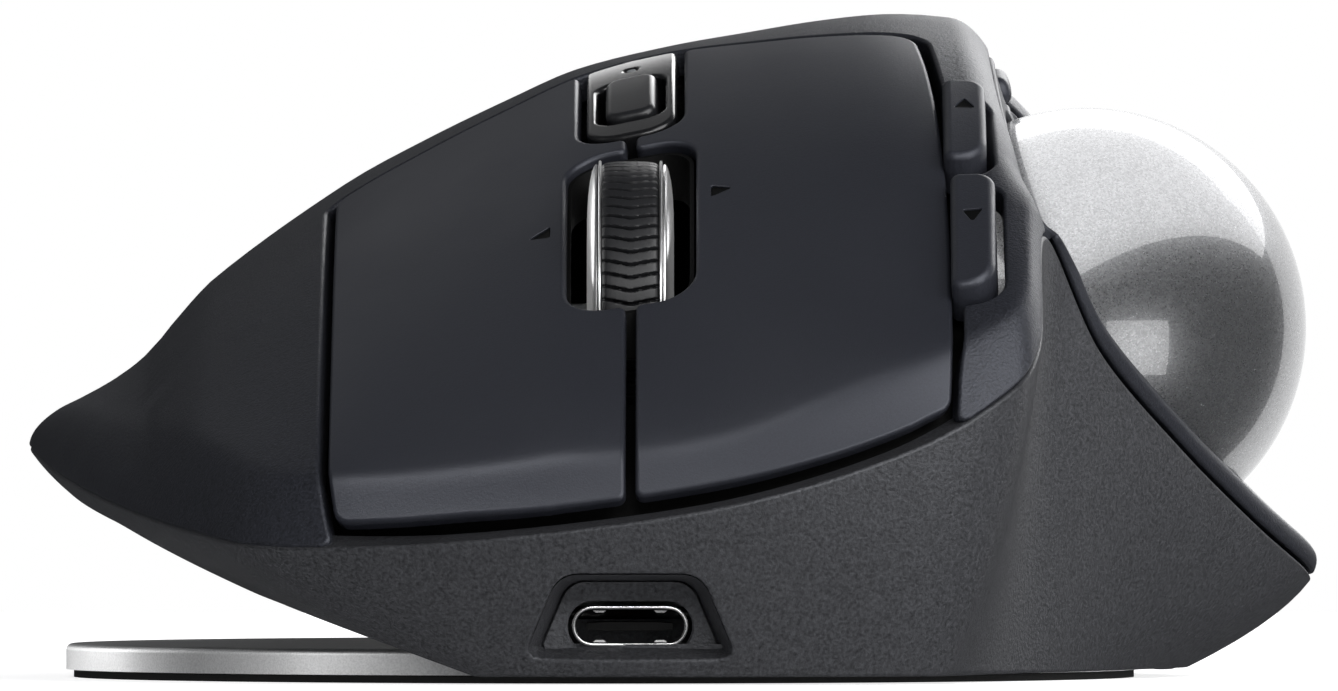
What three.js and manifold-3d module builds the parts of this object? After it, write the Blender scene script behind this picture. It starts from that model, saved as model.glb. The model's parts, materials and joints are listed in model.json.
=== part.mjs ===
// A right-handed thumb trackball mouse on a tilting steel base plate.
// Millimetres. +Z is up, -Y is the front (charging port), +X is the thumb side, the base pad lies on z = 0.
import * as THREE from "three";
import Module from "manifold-3d";
import { mergeVertices } from "three/addons/utils/BufferGeometryUtils.js";

const wasm = await Module();
wasm.setup();

// ---------------------------------------------------------------- driving dimensions

const HEIGHT = 51.5;
const GAP = 0.3; // between neighbouring covers
const WALL = 2.2;

const BASE = { x: -5.05, halfWidth: 41.75, halfLength: 50, pad: 0.6, top: 2.6 };
const TILT = { x: -14.7, z: 6.5, degrees: 20 };
const TILT_RISE = Math.tan(THREE.MathUtils.degToRad(TILT.degrees));
const FAR = 90; // clear of the object on every side
const SURFACE_DROP = 1.15; // how much lower an inner surface lies for each millimetre it is inset
const SKIRT_Z = 0.6; // lowest edge of the tilting body
const CEILING_Z = 2.9; // underside of the floor, above the base plate
const FLOOR_Z = 4.9; // inside of the floor

const CENTRE = { x: -3, y: 0 }; // every rim point is seen from here in plan
const CREST_Y = 5;

const CLICK_ROOM = 1.1; // under the front edge of the click plates
const MID_X = -2.95; // centre line of the wheel, the mode switch and the port
const DECK = { left: -26, right: 21.3 };

const BALL = { x: 32.3, y: -8, z: 27.1, radius: 17 };
const SOCKET_TILT = THREE.MathUtils.degToRad(56.6); // opening of the ball socket, from straight up
const SOCKET = { inner: 17.8, outer: 19.4, reach: 66, footTop: 12, footWall: 2.8 }; // reach in degrees
const BEARINGS = { lean: 48, around: [70, 190, 310], radius: 1.25, seat: 1.5, stand: 1.3 };
const SENSOR = { bore: 3.4, lensNear: 18.2, lensFar: 20.4, lensRadius: 3, near: 20.8, far: 22.4, radius: 5 };

const WHEEL = { y: -32.7, z: 27.8, radius: 12, tyreHalf: 2.17, ringHalf: 2.45, flankHalf: 3.3 };
const TYRE = { depth: 2, crown: 0.3, crownHalf: 1 };
const AXLE = { half: 7.2, radius: 1.1, bore: 1.4, hubBore: 1.3, flankBore: 1.6 };
const BRACKET = { halfX: 8, halfY: 13.5, lugInner: 11.8, lugHalfX: 3, top: 9.5, lugTop: 15 };
const ROCKER = { z: 13, halfX: 7, halfY: 11.2, bottom: 11.8, top: 13.6, pin: 1, pinHalf: 13.2, bore: 1.35 };
const CRADLE = { inner: 5.2, outer: 6.4, halfY: 5, armHalfY: 3, bottom: 14.9, top: 15.5, above: 2 };
const ENCODER = { near: 6.9, far: 9.6, halfY: 4, bottom: 18, drop: 1.8 };
const WELL = { halfWidth: 4.97, front: -47.5, rear: -25.2, radius: 3 };
const ISLAND = { halfWidth: 3.48, front: -22.4, rear: 4, radius: 2.6 };
const MODE_KEY = { halfWidth: 1.95, front: -18.9, rear: -9.6 };
const LENS = { halfWidth: 0.3, front: -6.3, rear: -5.7, gap: 0.2 };
const PORT = { z: 4.45, width: 8.8, height: 3.1, wall: 0.3, front: -59.6, rear: -51.6, tongueHalf: 2.9 };
const BOARD = { left: -19, right: 12, front: -54, rear: -19.4, bottom: 7, top: 8.2 };
const BATTERY = { left: -11.5, right: 6.5, front: 2, rear: 32, bottom: 5.4, top: 13 };
const CHASSIS = { left: -22, right: 12, front: -2, rear: 34, bottom: 20, top: 22, footRadius: 2.4 };
const SIDE_BOARD = { left: 20.8, right: 21.6, front: -46, rear: -28, bottom: 9.5, top: 18 };
const SWITCH = { halfX: 2.9, front: -53, rear: -40.5, top: 13.8, plungerTop: 14.5 };
const STEM = { half: 1.5, front: -51.5, rear: -48.5, bottom: 15.4 }; // reaches down to a switch plunger
const SLIDER = { x: 17, y: 24, halfX: 3, halfY: 6 };
const KNUCKLE_Y = [-12, 12];
const KNUCKLE = { radius: 1.9, halfLength: 3, slotLeft: 4.6, slotRight: 3.6, slotHalf: 4.2 };
const SADDLE = { half: 2.2, near: 4.4, far: 7.04, bottom: 4, top: 8.8, play: 0.12 };
const MAGNETS = {
  rest: { left: 6, right: 14, front: -32, rear: -24, bottom: 5.1, top: 6.8 },
  tilt: { left: -32, right: -25, front: -4, rear: 4, bottom: 12.6, top: 14.6 },
};
const PIN = { half: 17, radius: 1 };
const SCREWS = [[-12, -50], [15, -45], [-12, 40], [10, 42]];
const SCREW = {
  hole: 1.3, boss: 3.2, well: 2.6, wellTop: 4.5,
  head: 2.2, headBottom: 3.05, headTop: 4.3, radius: 1, top: 6.6,
};
const EJECT = { x: 30.3, y: -8, radius: 3.6 }; // hole under the ball that a finger pushes it out through
const PRECISION = { x: 26.2, front: -4, rear: 9.5, half: 0.95, drop: 7.5 };
const SIDE_BUTTONS = [
  { name: "forward_button", front: -36.5, rear: -23.2, left: 21.75, right: 24.6 },
  { name: "back_button", front: -53.5, rear: -38.9, left: 22.2, right: 25.2 },
];

// The rim where the upper covers meet the lower shell, anticlockwise from the front left corner.
// Each row: rim x, y, z; x and y where the wall meets the underside; width of the band above the rim over
// which the top rolls down to it; how round that band is, from 0 for a flat chamfer to 1 for an arc.
const RIM = [
  [-29.5, -60.5, 10.5, -24, -54.5, 3.2, 0.3],
  [-14, -65.3, 11.2, -12, -59.5, 3, 0.1],
  [4, -66.25, 13.65, 3, -61, 3, 0.1],
  [17, -63.6, 17.4, 13.4, -59.5, 3, 0.1],
  [25, -59.4, 21.6, 19.6, -56.7, 2.6, 0.3],
  [28.2, -54.2, 25.6, 22, -52.2, 2, 0.6],
  [28.8, -40.5, 34.2, 25.2, -41, 2, 0.8],
  [33.1, -34.2, 25.4, 29.5, -32, 4, 1],
  [39.6, -25, 17.8, 34, -22.5, 6, 1],
  [45.6, -14, 11.9, 38, -12, 8, 1],
  [49.7, -3, 8.3, 39.9, -2, 9, 1],
  [49.2, 12, 7.6, 39.5, 12, 12, 1],
  [44, 30, 8.2, 35.5, 28, 15, 1],
  [34, 47, 9.2, 27, 42, 16, 1],
  [18, 60.5, 10.2, 14, 53.5, 15, 1],
  [-2, 66.25, 11, -3, 58.5, 13, 1],
  [-22, 62, 11.5, -19, 54.5, 12, 1],
  [-38, 50, 13, -31, 43, 10, 1],
  [-47, 31, 16, -37.5, 27, 6, 1],
  [-49.9, 10, 17.8, -38.8, 9, 3, 1],
  [-47.5, -12, 15.9, -37.5, -11, 3, 1],
  [-43, -32, 13.7, -34, -30, 3.4, 0.8],
  [-36.5, -50, 11.6, -29.5, -45, 3.4, 0.5],
];

// Height of the crest across the body, and how strongly each x falls away from it to front and rear.
const CREST = [
  [-52, 20], [-49.9, 20.2], [-47.6, 20.8], [-43.3, 23], [-40.3, 25.3], [-38.8, 27.2], [-35.3, 31],
  [-25.3, 38.2], [-18.8, 41.8], [-12.2, 45], [-7.2, 47.2], [0, 49], [6.2, 50.1], [11.7, 51],
  [17, HEIGHT], [22, 51.2], [28, 50], [36, 43.5], [44, 32], [52, 14],
];
const FALL = [
  [-52, 0.42], [-42, 0.55], [-35, 0.66], [-24, 0.82], [-12, 0.93], [0, 1], [12, 0.98], [21, 0.94],
  [30, 0.86], [52, 0.7],
];

// Rear edge of the click-button deck in plan, from left to right.
const DECK_REAR = [[-26, -6.8], [-15, -4.6], [-7, -3.2], [-2.95, -2], [1.6, -2.4], [10, -5.6], [18, -8.6]];

// Upper edge of the thumb scoop in plan, from its front end to its rear end.
const SCOOP_EDGE = [
  [28.3, -40.4], [27.5, -34.5], [26.6, -27], [25.8, -19], [25.3, -10], [25.1, 0], [25.2, 11], [26.7, 22.5],
  [41.2, 33.4],
];
const SCOOP = { rimFrom: 6.03, rimTo: 12.2, sag: 3.2, lip: 2.4, edgeDrop: 2.5 };

// ---------------------------------------------------------------- materials

const plastic = (color, roughness) => new THREE.MeshStandardMaterial({ color, roughness, metalness: 0 });
const metal = (color, roughness) => new THREE.MeshStandardMaterial({ color, roughness, metalness: 1 });
const LOOK = {
  graphite: plastic(0x303236, 0.62),
  satin: plastic(0x2a2c2f, 0.45),
  black: plastic(0x0d0d0e, 0.5),
  rubber: plastic(0x111112, 0.85),
  steel: metal(0xb9bcc0, 0.35),
  chrome: metal(0xd9dbde, 0.12),
  pearl: plastic(0xc4c7cb, 0.15),
  board: plastic(0x14532a, 0.5),
  gold: metal(0xc9a24a, 0.3),
  clear: plastic(0xe8eef0, 0.1),
};

// ---------------------------------------------------------------- solids

const part = new THREE.Group();

function solid(geometry) {
  const plain = geometry.clone();
  plain.deleteAttribute("normal");
  plain.deleteAttribute("uv");
  const merged = mergeVertices(plain, 1e-4);
  return new wasm.Manifold(
    new wasm.Mesh({
      numProp: 3,
      vertProperties: new Float32Array(merged.attributes.position.array),
      triVerts: new Uint32Array(merged.index.array),
    }),
  );
}

function largestBody(shape) {
  const bodies = shape.decompose();
  return bodies.reduce((best, body) => (body.volume() > best.volume() ? body : best));
}

function add(name, shape, material) {
  const mesh = largestBody(shape).getMesh();
  const geometry = new THREE.BufferGeometry();
  geometry.setAttribute("position", new THREE.BufferAttribute(mesh.vertProperties, 3));
  geometry.setIndex(new THREE.BufferAttribute(mesh.triVerts, 1));
  geometry.computeVertexNormals();
  const node = new THREE.Mesh(geometry, material);
  node.name = name;
  part.add(node);
}

const span = (a, b) => [Math.abs(b - a), (a + b) / 2];

function box(x0, x1, y0, y1, z0, z1) {
  const [dx, cx] = span(x0, x1);
  const [dy, cy] = span(y0, y1);
  const [dz, cz] = span(z0, z1);
  return solid(new THREE.BoxGeometry(dx, dy, dz).translate(cx, cy, cz));
}

const boxOf = ({ left, right, front, rear, bottom, top }) => box(left, right, front, rear, bottom, top);

// A cylinder from one point to another.
function rod(from, to, radius, sides = 14) {
  const a = new THREE.Vector3(...from);
  const b = new THREE.Vector3(...to);
  const axis = b.clone().sub(a);
  const up = new THREE.Vector3(0, 1, 0);
  const turn = new THREE.Quaternion().setFromUnitVectors(up, axis.clone().normalize());
  const geometry = new THREE.CylinderGeometry(radius, radius, axis.length(), sides);
  geometry.applyQuaternion(turn);
  geometry.translate(...a.add(b).multiplyScalar(0.5).toArray());
  return solid(geometry);
}

function sphere(centre, radius, across = 24, down = 16) {
  return solid(new THREE.SphereGeometry(radius, across, down).translate(...centre));
}

// A plan outline as a vertical prism.
function prism(points, z0, z1) {
  const shape = new THREE.Shape(points.map(([x, y]) => new THREE.Vector2(x, y)));
  const geometry = new THREE.ExtrudeGeometry(shape, { depth: z1 - z0, bevelEnabled: false });
  return solid(geometry.translate(0, 0, z0));
}

// An outline in x and z, drawn out along y.
function alongY(points, y0, y1) {
  const shape = new THREE.Shape(points.map(([x, z]) => new THREE.Vector2(x, z)));
  const geometry = new THREE.ExtrudeGeometry(shape, { depth: y1 - y0, bevelEnabled: false });
  geometry.rotateX(Math.PI / 2);
  return solid(geometry.translate(0, y1, 0));
}

function ellipse(cx, cy, rx, ry, count = 44) {
  const points = [];
  for (let i = 0; i < count; i++) {
    const angle = (i / count) * 2 * Math.PI;
    points.push([cx + rx * Math.cos(angle), cy + ry * Math.sin(angle)]);
  }
  return points;
}

// A slot outline with round ends at low and high y.
function slot(cx, y0, y1, half, radius = half, steps = 5) {
  const points = [];
  const corner = (x, y, from) => {
    for (let i = 0; i <= steps; i++) {
      const angle = from + (i / steps) * (Math.PI / 2);
      points.push([x + radius * Math.cos(angle), y + radius * Math.sin(angle)]);
    }
  };
  const inset = half - radius + 0.01;
  corner(cx + inset, y1 - radius, 0);
  corner(cx - inset, y1 - radius, Math.PI / 2);
  corner(cx - inset, y0 + radius, Math.PI);
  corner(cx + inset, y0 + radius, 1.5 * Math.PI);
  return points;
}

// A body of stacked rings, each an equal number of points, closed by one point below and one above.
function stacked(rings, below, above) {
  const count = rings[0].length;
  const vertices = [below, ...rings.flat(), above];
  const at = (ring, i) => 1 + ring * count + (i % count);
  const faces = [];
  const top = rings.length - 1;
  for (let i = 0; i < count; i++) {
    faces.push(0, at(0, i + 1), at(0, i));
    faces.push(vertices.length - 1, at(top, i), at(top, i + 1));
    for (let r = 0; r < top; r++) {
      faces.push(at(r, i), at(r, i + 1), at(r + 1, i + 1));
      faces.push(at(r, i), at(r + 1, i + 1), at(r + 1, i));
    }
  }
  const geometry = new THREE.BufferGeometry();
  geometry.setAttribute("position", new THREE.Float32BufferAttribute(vertices.flat(), 3));
  geometry.setIndex(faces);
  return solid(geometry);
}

// A body lofted through closed sections, capped flat at both ends.
function lofted(sections) {
  const middle = (points) =>
    [0, 1, 2].map((k) => points.reduce((sum, p) => sum + p[k], 0) / points.length);
  return stacked(sections, middle(sections[0]), middle(sections[sections.length - 1]));
}

// ---------------------------------------------------------------- outer surface

const mix = (a, b, t) => a + (b - a) * t;

// A smooth curve through [x, value] pairs.
function table(pairs) {
  const slope = (i) => {
    const a = pairs[Math.max(i - 1, 0)];
    const b = pairs[Math.min(i + 1, pairs.length - 1)];
    return (b[1] - a[1]) / (b[0] - a[0]);
  };
  return (x) => {
    const clamped = Math.min(Math.max(x, pairs[0][0]), pairs[pairs.length - 1][0]);
    let i = 0;
    while (i < pairs.length - 2 && clamped > pairs[i + 1][0]) i++;
    const [x0, v0] = pairs[i];
    const [x1, v1] = pairs[i + 1];
    const h = x1 - x0;
    const t = (clamped - x0) / h;
    const s = t * t * (3 - 2 * t);
    return mix(v0, v1, s) + h * t * (1 - t) * (slope(i) * (1 - t) - slope(i + 1) * t);
  };
}

// Every column of the rim table as a smooth closed curve of the row number.
function rimAt(u) {
  const count = RIM.length;
  const i = Math.floor(u);
  const t = u - i;
  const row = (k) => RIM[(((i + k) % count) + count) % count];
  const [a, b, c, d] = [row(-1), row(0), row(1), row(2)];
  return b.map((value, k) => {
    const p = c[k] - a[k];
    const q = d[k] - value;
    const s = t * t * (3 - 2 * t);
    return mix(value, c[k], s) + (t * (1 - t) * (p * (1 - t) - q * t)) / 2;
  });
}

const crest = table(CREST);
const fall = table(FALL);

function crown(x, y) {
  const run = Math.abs(y - CREST_Y);
  const front = 0.0236 * ((run ** 2 + 16) ** 0.85 - 16 ** 0.85);
  const thumbSide = (x - 20 + Math.hypot(x - 20, 8)) / 2;
  const rear = 0.0085 * run ** 2 + (0.012 * thumbSide * run ** 2) / (run + 6);
  return crest(x) - fall(x) * (y < CREST_Y ? front : rear);
}

// Height share across the rim band: an arc, a chamfer, or a blend of both.
function rounding(share, round) {
  const s = Math.min(share, 1);
  return mix(s, Math.sqrt(1 - (1 - s) ** 2), round);
}

// A point of the upper surface, a share of the way in from the rim towards the centre.
function upperPoint(u, share, inset) {
  const [x, y, z, , , band, round] = rimAt(u);
  const reach = Math.hypot(x - CENTRE.x, y - CENTRE.y);
  const start = inset / reach;
  const px = mix(x, CENTRE.x, start + (1 - start) * share);
  const py = mix(y, CENTRE.y, start + (1 - start) * share);
  const lift = Math.max(crown(px, py) - SURFACE_DROP * inset - z, 0.5);
  return [px, py, z + lift * rounding((share * (reach - inset)) / band, round)];
}

// A point of the wall between underside and rim: share 0 is the lower edge, 1 is the rim.
function wallPoint(u, share, inset) {
  const [x, y, z, lowX, lowY] = rimAt(u);
  const bulge = share + 0.5 * share * (1 - share);
  const px = mix(lowX, x, bulge);
  const py = mix(lowY, y, bulge);
  const lowZ = SKIRT_Z + TILT_RISE * Math.max(TILT.x - lowX, 0);
  const move = inset / Math.hypot(px - CENTRE.x, py - CENTRE.y);
  return [mix(px, CENTRE.x, move), mix(py, CENTRE.y, move), mix(lowZ, z, share)];
}

const AROUND = 56;
const WALL_SHARES = [-0.3, 0, 0.35, 0.7, 1];
const UPPER_SHARES = [0.012, 0.045, 0.09, 0.17, 0.3, 0.47, 0.66, 0.84];
const ring = (point) =>
  Array.from({ length: AROUND }, (_, i) => point((i / AROUND) * RIM.length));

function wallRings(inset, sink) {
  return WALL_SHARES.map((share) =>
    ring((u) => {
      const [x, y, z] = wallPoint(u, share, inset);
      return [x, y, share === 1 ? z - sink : z];
    }),
  );
}

const upperRings = (inset) => UPPER_SHARES.map((share) => ring((u) => upperPoint(u, share, inset)));
const peak = (inset) => [CENTRE.x, CENTRE.y, crown(CENTRE.x, CENTRE.y) - SURFACE_DROP * inset];
const UNDER = [CENTRE.x, CENTRE.y, -6];
const MIDDLE_Z = 13;

// Everything below two planes: flat to the hinge line, then rising by the tilt angle.
function below(flatZ, bendZ) {
  const outline = [
    [-FAR, -FAR], [FAR, -FAR], [FAR, flatZ], [TILT.x - (flatZ - bendZ) / TILT_RISE, flatZ],
    [-FAR, bendZ + TILT_RISE * (FAR + TILT.x)],
  ];
  return alongY(outline, -FAR, FAR);
}

const tiltedZ = (z) => TILT.z - (TILT.z - z) / Math.cos(THREE.MathUtils.degToRad(TILT.degrees));

// The whole body, the body above the rim and the body below it, at a distance inside the outer surface.
const fullBody = (inset) => stacked([...wallRings(inset, 0), ...upperRings(inset)], UNDER, peak(inset));
const upperBody = (inset) =>
  stacked(
    [ring((u) => wallPoint(u, 1, inset)), ...upperRings(inset)],
    [CENTRE.x, CENTRE.y, MIDDLE_Z],
    peak(inset),
  );
const lowerBody = (inset, sink) =>
  stacked(wallRings(inset, sink), UNDER, [CENTRE.x, CENTRE.y, MIDDLE_Z - sink]).subtract(
    below(SKIRT_Z, SKIRT_Z),
  );

const cavity = fullBody(WALL).subtract(below(FLOOR_Z, FLOOR_Z));
const skin = (outer, inner) => upperBody(outer).subtract(fullBody(inner));

// ---------------------------------------------------------------- thumb scoop

// Height of the upper surface over any plan point.
function surfaceZ(x, y) {
  const angleOf = (px, py) => Math.atan2(py - CENTRE.y, px - CENTRE.x);
  const wanted = angleOf(x, y);
  const turn = (a) => Math.atan2(Math.sin(a), Math.cos(a));
  let low = 0;
  const steps = 230;
  for (let i = 0; i < steps; i++) {
    const u = (i / steps) * RIM.length;
    const [ax, ay] = rimAt(u);
    const [bx, by] = rimAt(u + RIM.length / steps);
    if (turn(angleOf(ax, ay) - wanted) <= 0 && turn(angleOf(bx, by) - wanted) > 0) {
      const before = turn(wanted - angleOf(ax, ay));
      const after = turn(angleOf(bx, by) - wanted);
      if (before < 1 && after < 1) low = u + (before / (before + after)) * (RIM.length / steps);
    }
  }
  const [rx, ry] = rimAt(low);
  const share = 1 - Math.hypot(x - CENTRE.x, y - CENTRE.y) / Math.hypot(rx - CENTRE.x, ry - CENTRE.y);
  return upperPoint(low, Math.max(share, 0), 0)[2];
}

function scoopEdge(s) {
  const scaled = s * (SCOOP_EDGE.length - 1);
  const pick = (k) => table(SCOOP_EDGE.map((point, i) => [i, point[k]]))(scaled);
  const x = pick(0);
  const y = pick(1);
  return [x, y, surfaceZ(x, y) - SCOOP.edgeDrop * Math.min(1, 6 * s)];
}

// The lip's crest, just inside and above the rim.
function scoopLip(s) {
  const [x, y, z] = wallPoint(mix(SCOOP.rimFrom, SCOOP.rimTo, s), 1, 0.5);
  return [x, y, z + SCOOP.lip];
}

const SCOOP_STEPS = 16;
const ACROSS = 7;

// One section of the scoop lining: over the hollow face, round the lip, and back underneath.
function scoopSection(s) {
  const edge = scoopEdge(s);
  const lip = scoopLip(s);
  const reach = Math.hypot(lip[0] - edge[0], lip[2] - edge[2]);
  const sag = Math.min(SCOOP.sag, reach * 0.12);
  const inward = [(lip[2] - edge[2]) / reach, (edge[0] - lip[0]) / reach];
  const face = (depth) =>
    Array.from({ length: ACROSS }, (_, i) => {
      const t = i / (ACROSS - 1);
      const push = 4 * sag * t * (1 - t) + depth;
      return [
        mix(edge[0], lip[0], t) + inward[0] * push,
        mix(edge[1], lip[1], t),
        mix(edge[2], lip[2], t) + inward[1] * push,
      ];
    });
  const onRim = (inset) => wallPoint(mix(SCOOP.rimFrom, SCOOP.rimTo, s), 1, inset);
  const raised = ([x, y, z]) => [x, y, z + GAP];
  const under = face(1.8).slice(0, -1).reverse();
  const clear = under.map(([x, y, z]) => [Math.max(x, edge[0]), y, z]);
  return [...face(0), raised(onRim(0.1)), raised(onRim(WALL)), ...clear];
}

const scoopShares = Array.from({ length: SCOOP_STEPS + 1 }, (_, i) => mix(0.08, 0.985, i / SCOOP_STEPS));
const scoopLining = () => lofted(scoopShares.map(scoopSection));

// Plan of everything on the thumb side of the scoop's upper edge.
function scoopPlan(shift) {
  const edge = [0, ...scoopShares, 1].map((s) => scoopEdge(s));
  return [...edge.map(([x, y]) => [x - shift, y]), [80, edge[edge.length - 1][1]], [80, edge[0][1]]];
}

// ---------------------------------------------------------------- covers

const deckRear = table(DECK_REAR);

// Plan of the click-button deck, grown by a distance.
function deckPlan(grow) {
  const left = DECK.left - grow;
  const right = DECK.right + grow;
  const corner = 4;
  const points = [[left, -80], [right, -80]];
  for (let i = 0; i <= 5; i++) {
    const angle = (i / 5) * (Math.PI / 2);
    const y = deckRear(right) + grow - corner;
    points.push([right - corner + corner * Math.cos(angle), y + corner * Math.sin(angle)]);
  }
  for (let x = 14; x > left + 2; x -= 4) points.push([x, deckRear(x) + grow]);
  points.push([left + 1.5, deckRear(left + 1.5) + grow], [left, deckRear(left) + grow - 1.5]);
  return points;
}

const tall = (plan) => prism(plan, -FAR, FAR);
const islandPlan = (grow) =>
  slot(MID_X, ISLAND.front - grow, ISLAND.rear, ISLAND.halfWidth + grow, ISLAND.radius + grow);
const wellPlan = slot(MID_X, WELL.front, WELL.rear, WELL.halfWidth, WELL.radius);
const sidePlan = ({ front, rear, left, right }, grow) =>
  slot((left + right) / 2, front - grow, rear + grow, (right - left) / 2 + grow, 1.2);

const ejectHole = rod([EJECT.x, EJECT.y, -20], [EJECT.x, EJECT.y, 20], EJECT.radius);
const sliderWindow = (grow, z0, z1) =>
  box(
    SLIDER.x - SLIDER.halfX - grow, SLIDER.x + SLIDER.halfX + grow,
    SLIDER.y - SLIDER.halfY - grow, SLIDER.y + SLIDER.halfY + grow, z0, z1,
  );
const precisionPlan = (grow) =>
  slot(PRECISION.x, PRECISION.front - grow, PRECISION.rear + grow, PRECISION.half + grow, 0.9);
const ballSpace = (grow) => sphere([BALL.x, BALL.y, BALL.z], BALL.radius + grow, 28, 18);

function portTunnel() {
  const flare = [
    [MID_X - 7.8, 2.6], [MID_X, 1.9], [MID_X + 7.8, 2.6], [MID_X + 5.6, 7.6], [MID_X + 3.8, 8.2],
    [MID_X - 3.8, 8.2], [MID_X - 5.6, 7.6],
  ];
  const mouth = alongY(flare, -80, -59.8);
  const half = PORT.width / 2 + GAP;
  const up = PORT.height / 2 + GAP;
  const throat = box(MID_X - half, MID_X + half, -70, -48, PORT.z - up, PORT.z + up);
  return mouth.add(throat).add(box(MID_X - half, MID_X + half, -55, -48, PORT.z, 12));
}

function makeLowerShell() {
  const plate = ellipse(BASE.x, 0, BASE.halfWidth + 1.2, BASE.halfLength + 1.2);
  const recess = prism(plate, -10, 60).intersect(below(CEILING_Z, tiltedZ(CEILING_Z)));
  let shell = lowerBody(0, GAP).subtract(cavity).subtract(recess);
  shell = shell.subtract(portTunnel()).subtract(ejectHole).subtract(sliderWindow(0.5, -5, 10));
  for (const y of KNUCKLE_Y) {
    const left = TILT.x - KNUCKLE.slotLeft;
    const right = TILT.x + KNUCKLE.slotRight;
    shell = shell.subtract(box(left, right, y - KNUCKLE.slotHalf, y + KNUCKLE.slotHalf, -FAR, MIDDLE_Z));
  }
  for (const [x, y] of SCREWS) {
    const boss = rod([x, y, FLOOR_Z - 1.5], [x, y, BOARD.bottom - 0.1], SCREW.boss);
    shell = shell.add(boss.subtract(below(CEILING_Z, tiltedZ(CEILING_Z))));
    shell = shell.subtract(rod([x, y, -FAR], [x, y, FAR], SCREW.hole));
    shell = shell.subtract(rod([x, y, -FAR], [x, y, SCREW.wellTop], SCREW.well));
  }
  add("lower_shell", shell, LOOK.graphite);
}

function makePalmShell() {
  let shell = skin(0, WALL).subtract(tall(deckPlan(GAP))).subtract(tall(scoopPlan(GAP)));
  for (const button of SIDE_BUTTONS) {
    shell = shell.subtract(tall(sidePlan(button, 0.4)));
  }
  add("palm_shell", shell, LOOK.graphite);
}

function makeThumbShell() {
  const shell = scoopLining().subtract(ballSpace(0.5)).subtract(tall(precisionPlan(0.3)));
  add("thumb_shell", shell, LOOK.satin);
}

function makeClickButtons() {
  const deck = skin(0, WALL)
    .intersect(tall(deckPlan(0)))
    .subtract(tall(islandPlan(0.6)))
    .subtract(tall(wellPlan))
    .subtract(lowerBody(-0.2, -CLICK_ROOM));
  const sides = [
    { name: "right_click_plate", x0: -60, x1: MID_X - 0.35, stemX: -15 },
    { name: "left_click_plate", x0: MID_X + 0.35, x1: 60, stemX: 9 },
  ];
  for (const { name, x0, x1, stemX } of sides) {
    const stem = box(stemX - STEM.half, stemX + STEM.half, STEM.front, STEM.rear, STEM.bottom, 60);
    const plate = deck.intersect(box(x0, x1, -90, 90, -10, 90));
    add(name, plate.add(stem.intersect(fullBody(1))), LOOK.satin);
  }
}

function makeModeSwitch() {
  const hole = slot(MID_X, MODE_KEY.front - GAP, MODE_KEY.rear + GAP, MODE_KEY.halfWidth + GAP, 1.4);
  const lensHole = slot(MID_X, LENS.front - LENS.gap, LENS.rear + LENS.gap, LENS.halfWidth + LENS.gap);
  const trimPlan = tall(islandPlan(0)).subtract(tall(hole)).subtract(tall(lensHole));
  const rear = tall(deckPlan(0));
  add("mode_trim", skin(0, 2.6).intersect(trimPlan).intersect(rear), LOOK.black);
  const button = tall(slot(MID_X, MODE_KEY.front, MODE_KEY.rear, MODE_KEY.halfWidth, 1.1));
  add("mode_button", skin(-0.2, 3.2).intersect(button), LOOK.satin);
  const lens = tall(slot(MID_X, LENS.front, LENS.rear, LENS.halfWidth));
  add("status_lens", skin(0, 2.2).intersect(lens), LOOK.clear);
}

function makeSideButtons() {
  for (const button of SIDE_BUTTONS) {
    add(button.name, skin(-0.9, 3.4).intersect(tall(sidePlan(button, 0))), LOOK.graphite);
  }
  const z0 = surfaceZ(PRECISION.x, PRECISION.front) - PRECISION.drop;
  const cap = tall(precisionPlan(0)).intersect(box(0, 60, -60, 60, z0, 60)).intersect(fullBody(2.2));
  add("precision_button", cap.subtract(ballSpace(0.8)), LOOK.graphite);
}

// ---------------------------------------------------------------- ball and socket

const opening = new THREE.Vector3(Math.sin(SOCKET_TILT), 0, Math.cos(SOCKET_TILT));

function arcPoints(radius, from, to, count) {
  return Array.from({ length: count }, (_, i) => {
    const angle = THREE.MathUtils.degToRad(mix(from, to, i / (count - 1)));
    return new THREE.Vector2(radius * Math.sin(angle), -radius * Math.cos(angle));
  });
}

// A direction from the ball's centre, measured from the bottom of the socket.
function socketDirection(lean, around) {
  const a = THREE.MathUtils.degToRad(lean);
  const b = THREE.MathUtils.degToRad(around);
  const local = new THREE.Vector3(Math.sin(a) * Math.cos(b), -Math.cos(a), Math.sin(a) * Math.sin(b));
  const turn = new THREE.Quaternion().setFromUnitVectors(new THREE.Vector3(0, 1, 0), opening);
  return local.applyQuaternion(turn);
}

const fromBall = (direction, distance) =>
  new THREE.Vector3(BALL.x, BALL.y, BALL.z).addScaledVector(direction, distance).toArray();

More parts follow.
